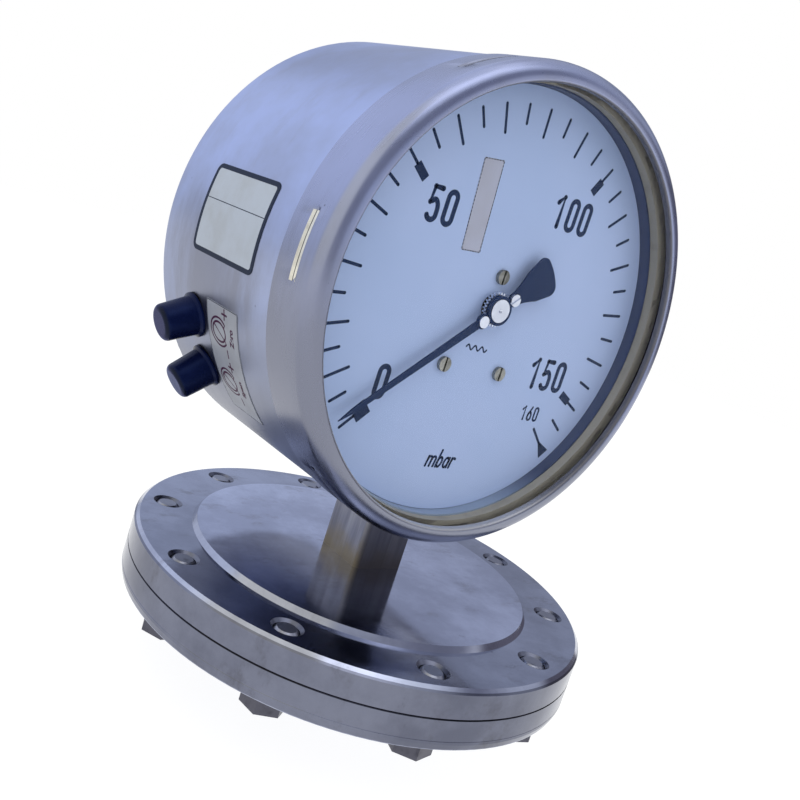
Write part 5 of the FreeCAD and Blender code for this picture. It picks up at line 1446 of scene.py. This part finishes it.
@dataclass
class BayonetRing:
    """Front ring of sheet: skirt with pressed slots, rolled bead and turned-in lip."""

    skirt: float = 80.5
    sheet: float = 0.75
    rear: float = 14.4
    front: float = 36.15
    bead: float = 5.4
    lip: float = 73.75
    lip_rear: float = 33.6
    lip_round: float = 1.2
    steps: int = 240
    slot_middle: float = -86.7
    slot_count: int = 6
    slot_span: float = 15.2
    slot_place: float = 24.3
    slot_half: float = 1.6
    slot_depth: float = 1.0
    near: float = 0.01
    bead_steps: int = 14

    def profile(self) -> bmesh.types.BMesh:
        """Outline of the sheet above the axis, with its corners rounded.

        Returns:
            A new bmesh of edges in the plane of Y and Z.
        """
        corners = ((self.skirt, self.rear), (self.skirt, self.front), (self.lip, self.front),
                   (self.lip, self.lip_rear), (self.lip + self.sheet, self.lip_rear),
                   (self.lip + self.sheet, self.front - self.sheet),
                   (self.skirt - self.sheet, self.front - self.sheet), (self.skirt - self.sheet, self.rear))
        mesh = bmesh.new()
        knots = [mesh.verts.new((0, -along, radius)) for radius, along in corners]
        mesh.faces.new(knots)
        for number, offset in ((1, self.bead), (2, self.lip_round), (5, self.lip_round - self.sheet),
                               (6, self.bead - self.sheet)):
            bmesh.ops.bevel(mesh, geom=[knots[number]], offset=offset, affect="VERTICES",
                            segments=self.bead_steps, profile=0.5, material=-1)
        bmesh.ops.delete(mesh, geom=mesh.faces[:], context="FACES_ONLY")
        for place in (self.slot_place - self.slot_half, self.slot_place, self.slot_place + self.slot_half):
            bmesh.ops.bisect_plane(mesh, geom=mesh.verts[:] + mesh.edges[:], dist=CUT_GAP,
                                   plane_co=(0, -place, 0), plane_no=(0, 1, 0))
        return mesh

    def press(self, mesh: bmesh.types.BMesh) -> None:
        """Presses the slots into the skirt.

        Args:
            mesh: spun ring about the origin.
        """
        step = 360 / self.slot_count
        for vert in mesh.verts:
            radius = math.hypot(vert.co.x, vert.co.z)
            if radius < self.skirt - self.near or abs(vert.co.y + self.slot_place) > self.near:
                continue
            turn = math.degrees(math.atan2(vert.co.x, vert.co.z)) - self.slot_middle
            if abs((turn + step / 2) % step - step / 2) < self.slot_span / 2:
                vert.co.x *= 1 - self.slot_depth / radius
                vert.co.z *= 1 - self.slot_depth / radius

    def build(self) -> None:
        """Spins the sheet and presses its slots."""
        mesh = self.profile()
        spin_round(mesh, (0, 1, 0), self.steps)
        bmesh.ops.remove_doubles(mesh, verts=mesh.verts, dist=MERGE_GAP)
        self.press(mesh)
        bmesh.ops.recalc_face_normals(mesh, faces=mesh.faces)
        bmesh.ops.translate(mesh, vec=(0, 0, DIAL_HEIGHT), verts=mesh.verts)
        piece = settle("ring_sheet", mesh, RING_STEEL, Body.RING, crease=25.0)
        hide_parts("bayonet_ring")


@dataclass
class ProcessSpigot:
    """Process connection: pilot, pipe thread with run-out and hexagon."""

    port: float = 1.75
    pilot: float = 3.0
    pilot_length: float = 3.0
    crest: float = 10.4775
    root: float = 9.3
    waist: float = 8.75
    pitch: float = 1.814
    thread_length: float = 17.0
    shoulder: float = 20.0
    hex_flats: float = 27.0
    hex_height: float = 10.0
    hex_break: float = 0.35
    pilot_break: float = 0.4
    waist_slope: float = 0.5
    run_out: float = 0.75
    sunk: float = 0.02
    flank: Point = (0.1, 0.44)
    weld_gap: float = 1e-3
    steps: int = 64

    def turned(self) -> bmesh.types.BMesh:
        """Pilot, core of the thread and waist.

        Returns:
            A new bmesh about the axis.
        """
        mesh = bmesh.new()
        outline = ((self.port, 0.0), (self.port, -self.pilot_length),
                   (self.pilot - self.pilot_break, -self.pilot_length),
                   (self.pilot, self.pilot_break - self.pilot_length), (self.pilot, 0.0), (self.root, 0.0),
                   (self.root, self.thread_length), (self.waist, self.thread_length + self.waist_slope),
                   (self.waist, self.shoulder))
        knots = [mesh.verts.new((radius, 0, height)) for radius, height in outline]
        for first, second in zip(knots, knots[1:]):
            mesh.edges.new((first, second))
        spin_round(mesh, (0, 0, 1), self.steps)
        return mesh

    def thread(self, mesh: bmesh.types.BMesh) -> None:
        """Winds the thread around the core, fading out at both ends.

        Args:
            mesh: spigot that the thread is added to.
        """
        foot, top = self.flank
        ridge = ((self.root, 0.0), (self.root, foot), (self.crest, top), (self.crest, 1 - top),
                 (self.root, 1 - foot), (self.root, 1.0))
        turns = int(self.thread_length / self.pitch)
        knots = [mesh.verts.new((radius, 0, rise * self.pitch)) for radius, rise in ridge]
        lines = [mesh.edges.new(pair) for pair in zip(knots, knots[1:])]
        before = {vert for vert in mesh.verts if vert not in knots}
        bmesh.ops.spin(mesh, geom=knots + lines, cent=(0, 0, 0), axis=(0, 0, 1),
                       dvec=(0, 0, self.pitch / self.steps), angle=FULL_TURN * turns,
                       steps=self.steps * turns, use_duplicate=False)
        for vert in mesh.verts:
            if vert in before:
                continue
            vert.co.z = min(vert.co.z, self.thread_length)
            radius = math.hypot(vert.co.x, vert.co.y)
            from_end = max(0.0, min(vert.co.z, self.thread_length - vert.co.z))
            most = self.root + self.run_out * from_end - self.sunk
            share = min(1.0, most / radius)
            vert.co.x *= share
            vert.co.y *= share

    def hexagon(self, mesh: bmesh.types.BMesh) -> None:
        """Adds the hexagon with broken edges.

        Args:
            mesh: spigot that the hexagon is added to.
        """
        before = set(mesh.edges)
        made = bmesh.ops.create_circle(mesh, cap_ends=True, radius=self.hex_flats / math.sqrt(3), segments=6,
                                       matrix=Matrix.Translation((0, 0, self.shoulder)))
        faces = list({face for vert in made["verts"] for face in vert.link_faces})
        raise_faces(mesh, faces, self.hex_height)
        fresh = [edge for edge in mesh.edges if edge not in before]
        bmesh.ops.bevel(mesh, geom=fresh, offset=self.hex_break, affect="EDGES", segments=2, profile=0.5,
                        material=-1)

    def build(self) -> None:
        """Makes the spigot."""
        mesh = self.turned()
        bmesh.ops.remove_doubles(mesh, verts=mesh.verts, dist=MERGE_GAP)
        self.thread(mesh)
        bmesh.ops.remove_doubles(mesh, verts=mesh.verts, dist=self.weld_gap)
        self.hexagon(mesh)
        bmesh.ops.recalc_face_normals(mesh, faces=mesh.faces)
        piece = settle("process_spigot", mesh, FLANGE_STEEL, Body.CASE, crease=30.0)
        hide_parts("process_connection")


@dataclass
class RingSlots:
    """Lanced slots of the bayonet ring: a strip of painted shadow along each slit between two pressed lips,
    with a painted highlight on the left slot's lips and painted shade on the others.
    """

    ring: BayonetRing
    span: float = 15.0
    steps: int = 18
    depth: float = 0.22
    lift: float = 0.02
    slit_half: float = 0.22
    flank_inner: float = 0.18

    def ribbon(self, outer: Point, inner: Point) -> bmesh.types.BMesh:
        """Ribbon along one slot, bent around the drum at the top.

        Args:
            outer: radius and place along the drum of one edge.
            inner: radius and place along the drum of the other edge.

        Returns:
            A new bmesh.
        """
        mesh = bmesh.new()
        ends = [mesh.verts.new((0, back, radius)) for radius, back in (outer, inner)]
        mesh.edges.new(ends)
        start = Matrix.Rotation(math.radians(-self.span / 2), 3, "Y")
        bmesh.ops.rotate(mesh, cent=(0, 0, 0), matrix=start, verts=mesh.verts)
        bmesh.ops.spin(mesh, geom=mesh.verts[:] + mesh.edges[:], cent=(0, 0, 0), axis=(0, 1, 0),
                       angle=math.radians(self.span), steps=self.steps, use_duplicate=False)
        return mesh

    def around(self, part: bmesh.types.BMesh, numbers: Iterable[int]) -> bmesh.types.BMesh:
        """Copies of a slot piece at some of the slots.

        Args:
            part: piece at the top of the ring, which is freed.
            numbers: slots that get a copy, counted from the left one.

        Returns:
            A new bmesh about the dial centre.
        """
        keep = bpy.data.meshes.new("slot")
        part.to_mesh(keep)
        part.free()
        whole = bmesh.new()
        for number in numbers:
            before = len(whole.verts)
            whole.from_mesh(keep)
            whole.verts.ensure_lookup_table()
            turn = math.radians(self.ring.slot_middle + 360 * number / self.ring.slot_count)
            bmesh.ops.rotate(whole, cent=(0, 0, 0), matrix=Matrix.Rotation(turn, 3, "Y"),
                             verts=whole.verts[before:])
        bpy.data.meshes.remove(keep)
        bmesh.ops.translate(whole, vec=(0, 0, DIAL_HEIGHT), verts=whole.verts)
        return whole

    def build(self) -> None:
        """Makes the painted shadow strips of the slits and their flanks, with painted highlight and painted
        shade.
        """
        count, place = self.ring.slot_count, -self.ring.slot_place
        floor = self.ring.skirt - self.depth
        brim = self.ring.skirt + self.lift
        # painted shadow: dark strip along the floor of each slot
        slit = self.ribbon((floor, place - self.slit_half), (floor, place + self.slit_half))
        settle("slot_slit_shadows", self.around(slit, range(count)), SLIT_PAINTED_SHADOW, Body.RING)
        # the left slot's flanks get a painted highlight, the others painted shade
        shades = (("bright", SLIT_PAINTED_HIGHLIGHT, range(1)), ("dull", SLIT_PAINTED_SHADE, range(1, count)))
        for name, side in (("front", -1), ("rear", 1)):
            for shade, finish, numbers in shades:
                flank = self.ribbon((brim, place + side * self.ring.slot_half),
                                    (floor + self.lift, place + side * self.flank_inner))
                settle("slot_flank_" + name + "_" + shade, self.around(flank, numbers), finish, Body.RING)


@dataclass(frozen=True)
class Glow:
    """Patch of the surroundings as mirrors see it, in degrees from the front and above the level."""

    azimuth: float
    height: float
    wide: float
    tall: float
    soft: float
    fade: float
    colour: Colour


GLOWS: tuple[Glow, ...] = (
    Glow(0, 72, 180, 28, 25, 25, rgb(1.10, 1.14, 1.22)),
    Glow(30, 68, 100, 8, 30, 5, rgb(1.90, 1.92, 2.0)),
    Glow(25, 30, 30, 12, 15, 8, rgb(0.33, 0.34, 0.42)),
    Glow(172, 33, 42, 22, 25, 25, rgb(0.92, 0.98, 1.14)),
    Glow(100, 42, 35, 20, 20, 20, rgb(0.68, 0.71, 0.80)),
    Glow(136, 10, 34, 20, 16, 16, rgb(0.47, 0.52, 0.66)),
    Glow(114, 12, 16, 20, 16, 16, rgb(0.36, 0.39, 0.49)),
    Glow(92, -3, 36, 12, 7, 6, rgb(0.17, 0.16, 0.20)),
    Glow(84, 4, 26, 13, 8, 7, rgb(0.17, 0.16, 0.20)),
    Glow(47, 6, 5, 12, 7, 8, rgb(1.0, 1.0, 1.03)),
    Glow(-25, -5, 20, 42, 16, 16, rgb(0.34, 0.35, 0.41)),
    Glow(-84, -3, 31, 68, 14, 9, rgb(1.05, 1.02, 0.90)),
)


@dataclass
class Studio:
    """Camera, lamps, floor and the surroundings that mirrors see."""

    eye: tuple[float, float, float] = (-228.96, -245.09, 176.16)
    right: tuple[float, float, float] = (0.7725, -0.5608, 0.298)
    above: tuple[float, float, float] = (-0.154, 0.2898, 0.9446)
    toward: tuple[float, float, float] = (-0.6161, -0.7756, 0.1375)
    focus_pixels: float = 955.58
    middle: Point = (354.78, 328.98)
    floor_height: float = -3.3
    floor_side: float = 3.0
    floor_paint: Colour = (0.86, 0.87, 0.89, 1.0)
    floor_glow: float = 1.2
    floor_share: float = 0.74
    soft_light: float = 0.62
    ball_radius: float = 4.0
    ball_height: float = 0.1
    ball_steps: int = 5
    ball_low: Colour = (0.49, 0.52, 0.60, 1.0)
    ball_high: Colour = (0.80, 0.86, 0.98, 1.0)
    sensor: float = 36.0
    nearest: float = 0.01
    aim: tuple[float, float, float] = (0.0, 0.0, 0.12)

    def camera(self) -> None:
        """Sets the camera where the photograph was taken."""
        data = bpy.data.cameras.new("camera")
        data.sensor_width = self.sensor
        data.lens = self.focus_pixels * self.sensor / IMAGE_SIDE
        data.shift_x = 0.5 - self.middle[0] / IMAGE_SIDE
        data.shift_y = self.middle[1] / IMAGE_SIDE - 0.5
        data.clip_start = self.nearest
        view = bpy.data.objects.new("camera", data)
        axes = Matrix((self.right, self.above, self.toward)).transposed().to_4x4()
        view.matrix_world = Matrix.Translation(Vector(self.eye) * MM) @ axes
        bpy.context.scene.collection.objects.link(view)
        bpy.context.scene.camera = view

    def lamp(self, name: str, place: Sequence[float], side: float, power: float) -> None:
        """Adds a square lamp that faces the object.

        Args:
            name: name of the lamp.
            place: where it hangs, in metres.
            side: length of its side.
            power: watts.
        """
        data = bpy.data.lights.new(name, "AREA")
        data.size = side
        data.energy = power
        lamp = bpy.data.objects.new(name, data)
        lamp.location = place
        lamp.visible_glossy = False
        lamp.rotation_euler = (Vector(self.aim) - Vector(place)).to_track_quat("-Z", "Y").to_euler()
        bpy.context.scene.collection.objects.link(lamp)

    def world(self) -> None:
        """White surroundings for the eye and for mirrors, softer light on dull surfaces."""
        scene = bpy.context.scene
        scene.world = bpy.data.worlds.new("studio")
        scene.world.use_nodes = True
        tree = ShaderTree(scene.world.node_tree)
        soft = tree.out("ShaderNodeBackground", {}, {"Color": WHITE, "Strength": self.soft_light})
        white = tree.out("ShaderNodeBackground", {}, {"Color": WHITE, "Strength": 1.0})
        shader = tree.out("ShaderNodeMixShader", {}, {0: tree.seen_directly(), 1: soft, 2: white})
        tree.surface(shader, "ShaderNodeOutputWorld")

    def stand(self, name: str, mesh: bmesh.types.BMesh) -> tuple[bpy.types.Object, ShaderTree]:
        """Turns a bmesh in metres into a thing of the stage.

        Args:
            name: name of the thing and of its paint.
            mesh: its geometry, which is freed.

        Returns:
            The thing and the empty node tree of its paint.
        """
        data = bpy.data.meshes.new(name)
        mesh.to_mesh(data)
        mesh.free()
        paint = bpy.data.materials.new(name)
        paint.use_nodes = True
        data.materials.append(paint)
        thing = bpy.data.objects.new(name, data)
        bpy.context.scene.collection.objects.link(thing)
        log.info("%s: %d faces on the stage", name, len(data.polygons))
        return thing, ShaderTree(paint.node_tree)

    def floor(self) -> None:
        """Plain pale floor that mirrors see as the eye does, and that keeps a soft shadow."""
        mesh = bmesh.new()
        bmesh.ops.create_grid(mesh, x_segments=1, y_segments=1, size=self.floor_side / 2)
        bmesh.ops.translate(mesh, vec=(0, 0, self.floor_height * MM), verts=mesh.verts)
        _, tree = self.stand("floor", mesh)
        dull = tree.out("ShaderNodeBsdfDiffuse", {}, {"Color": self.floor_paint})
        bright = tree.out("ShaderNodeEmission", {}, {"Color": WHITE, "Strength": self.floor_glow})
        share = tree.seen_directly() * self.floor_share
        tree.surface(tree.out("ShaderNodeMixShader", {}, {0: share, 1: dull, 2: bright}))

    def surroundings(self) -> None:
        """Large ball that only mirrors see above the floor, with soft light and dark patches."""
        mesh = bmesh.new()
        bmesh.ops.create_icosphere(mesh, subdivisions=self.ball_steps, radius=self.ball_radius)
        bmesh.ops.translate(mesh, vec=(0, 0, self.ball_height), verts=mesh.verts)
        ball, tree = self.stand("surroundings", mesh)
        ball.data.shade_smooth()
        share = 1 / self.ball_radius
        place = tree.mapped(tree.place(), (0, 0, -self.ball_height * share), (share, share, share))
        colour = tree.blend(tree.split(place)[2].smooth(-0.6, 0.6), self.ball_low, self.ball_high)
        for glow in GLOWS:
            turned = tree.out("ShaderNodeVectorRotate", {"rotation_type": "Z_AXIS"},
                              {"Vector": place, "Angle": -math.radians(glow.azimuth)})
            right, back, up = tree.split(turned)
            aside = tree.maths("ABSOLUTE", tree.maths("ARCTAN2", right, back * -1))
            above = tree.maths("ABSOLUTE", tree.maths("ARCSINE", up) - math.radians(glow.height))
            soft, fade = math.radians(glow.soft), math.radians(glow.fade)
            wide, tall = math.radians(glow.wide), math.radians(glow.tall)
            within = (1 - aside.smooth(wide, wide + soft)) * (1 - above.smooth(tall, tall + fade))
            colour = tree.blend(within, colour, glow.colour)
        tree.surface(tree.out("ShaderNodeEmission", {}, {"Color": colour, "Strength": 1.0}))
        ball.visible_camera = False
        ball.visible_diffuse = False
        ball.visible_transmission = False
        ball.visible_volume_scatter = False
        ball.visible_shadow = False

    def build(self) -> None:
        """Sets up the studio."""
        self.camera()
        self.world()
        self.floor()
        self.lamp("key", (-0.7, -0.5, 1.3), side=1.2, power=9.0)
        self.lamp("fill", (0.9, -0.9, 0.7), side=1.0, power=4.0)
        self.surroundings()


def clear_stage() -> None:
    """Removes whatever a new file starts with."""
    for thing in list(bpy.data.objects):
        bpy.data.objects.remove(thing)


def dress_nodes(frame: Mapping[str, Any]) -> None:
    """Gives every carried-over node the finish of its slot.
    """
    for part in frame["record"]["subparts"]:
        node = frame["nodes"][part["node"]]
        finish = NODE_FINISHES.get(part["node"], SLOT_FINISHES[part["material_slot"]])
        for holder in node.material_slots:
            holder.material = finish.material()
        log.info("%s: finish %s", part["node"], finish.name)


def main() -> None:
    """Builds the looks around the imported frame."""
    logging.basicConfig(level=logging.INFO, format="%(name)s: %(message)s")
    clear_stage()
    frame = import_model()
    scene = bpy.context.scene
    scene.view_settings.view_transform = "Standard"
    dress_nodes(frame)
    DialPrint().build()
    DialTag().build()
    DrumLabels().build()
    ring = BayonetRing()
    ring.build()
    RingSlots(ring).build()
    ProcessSpigot().build()
    Studio().build()


if __name__ == "__main__":
    main()
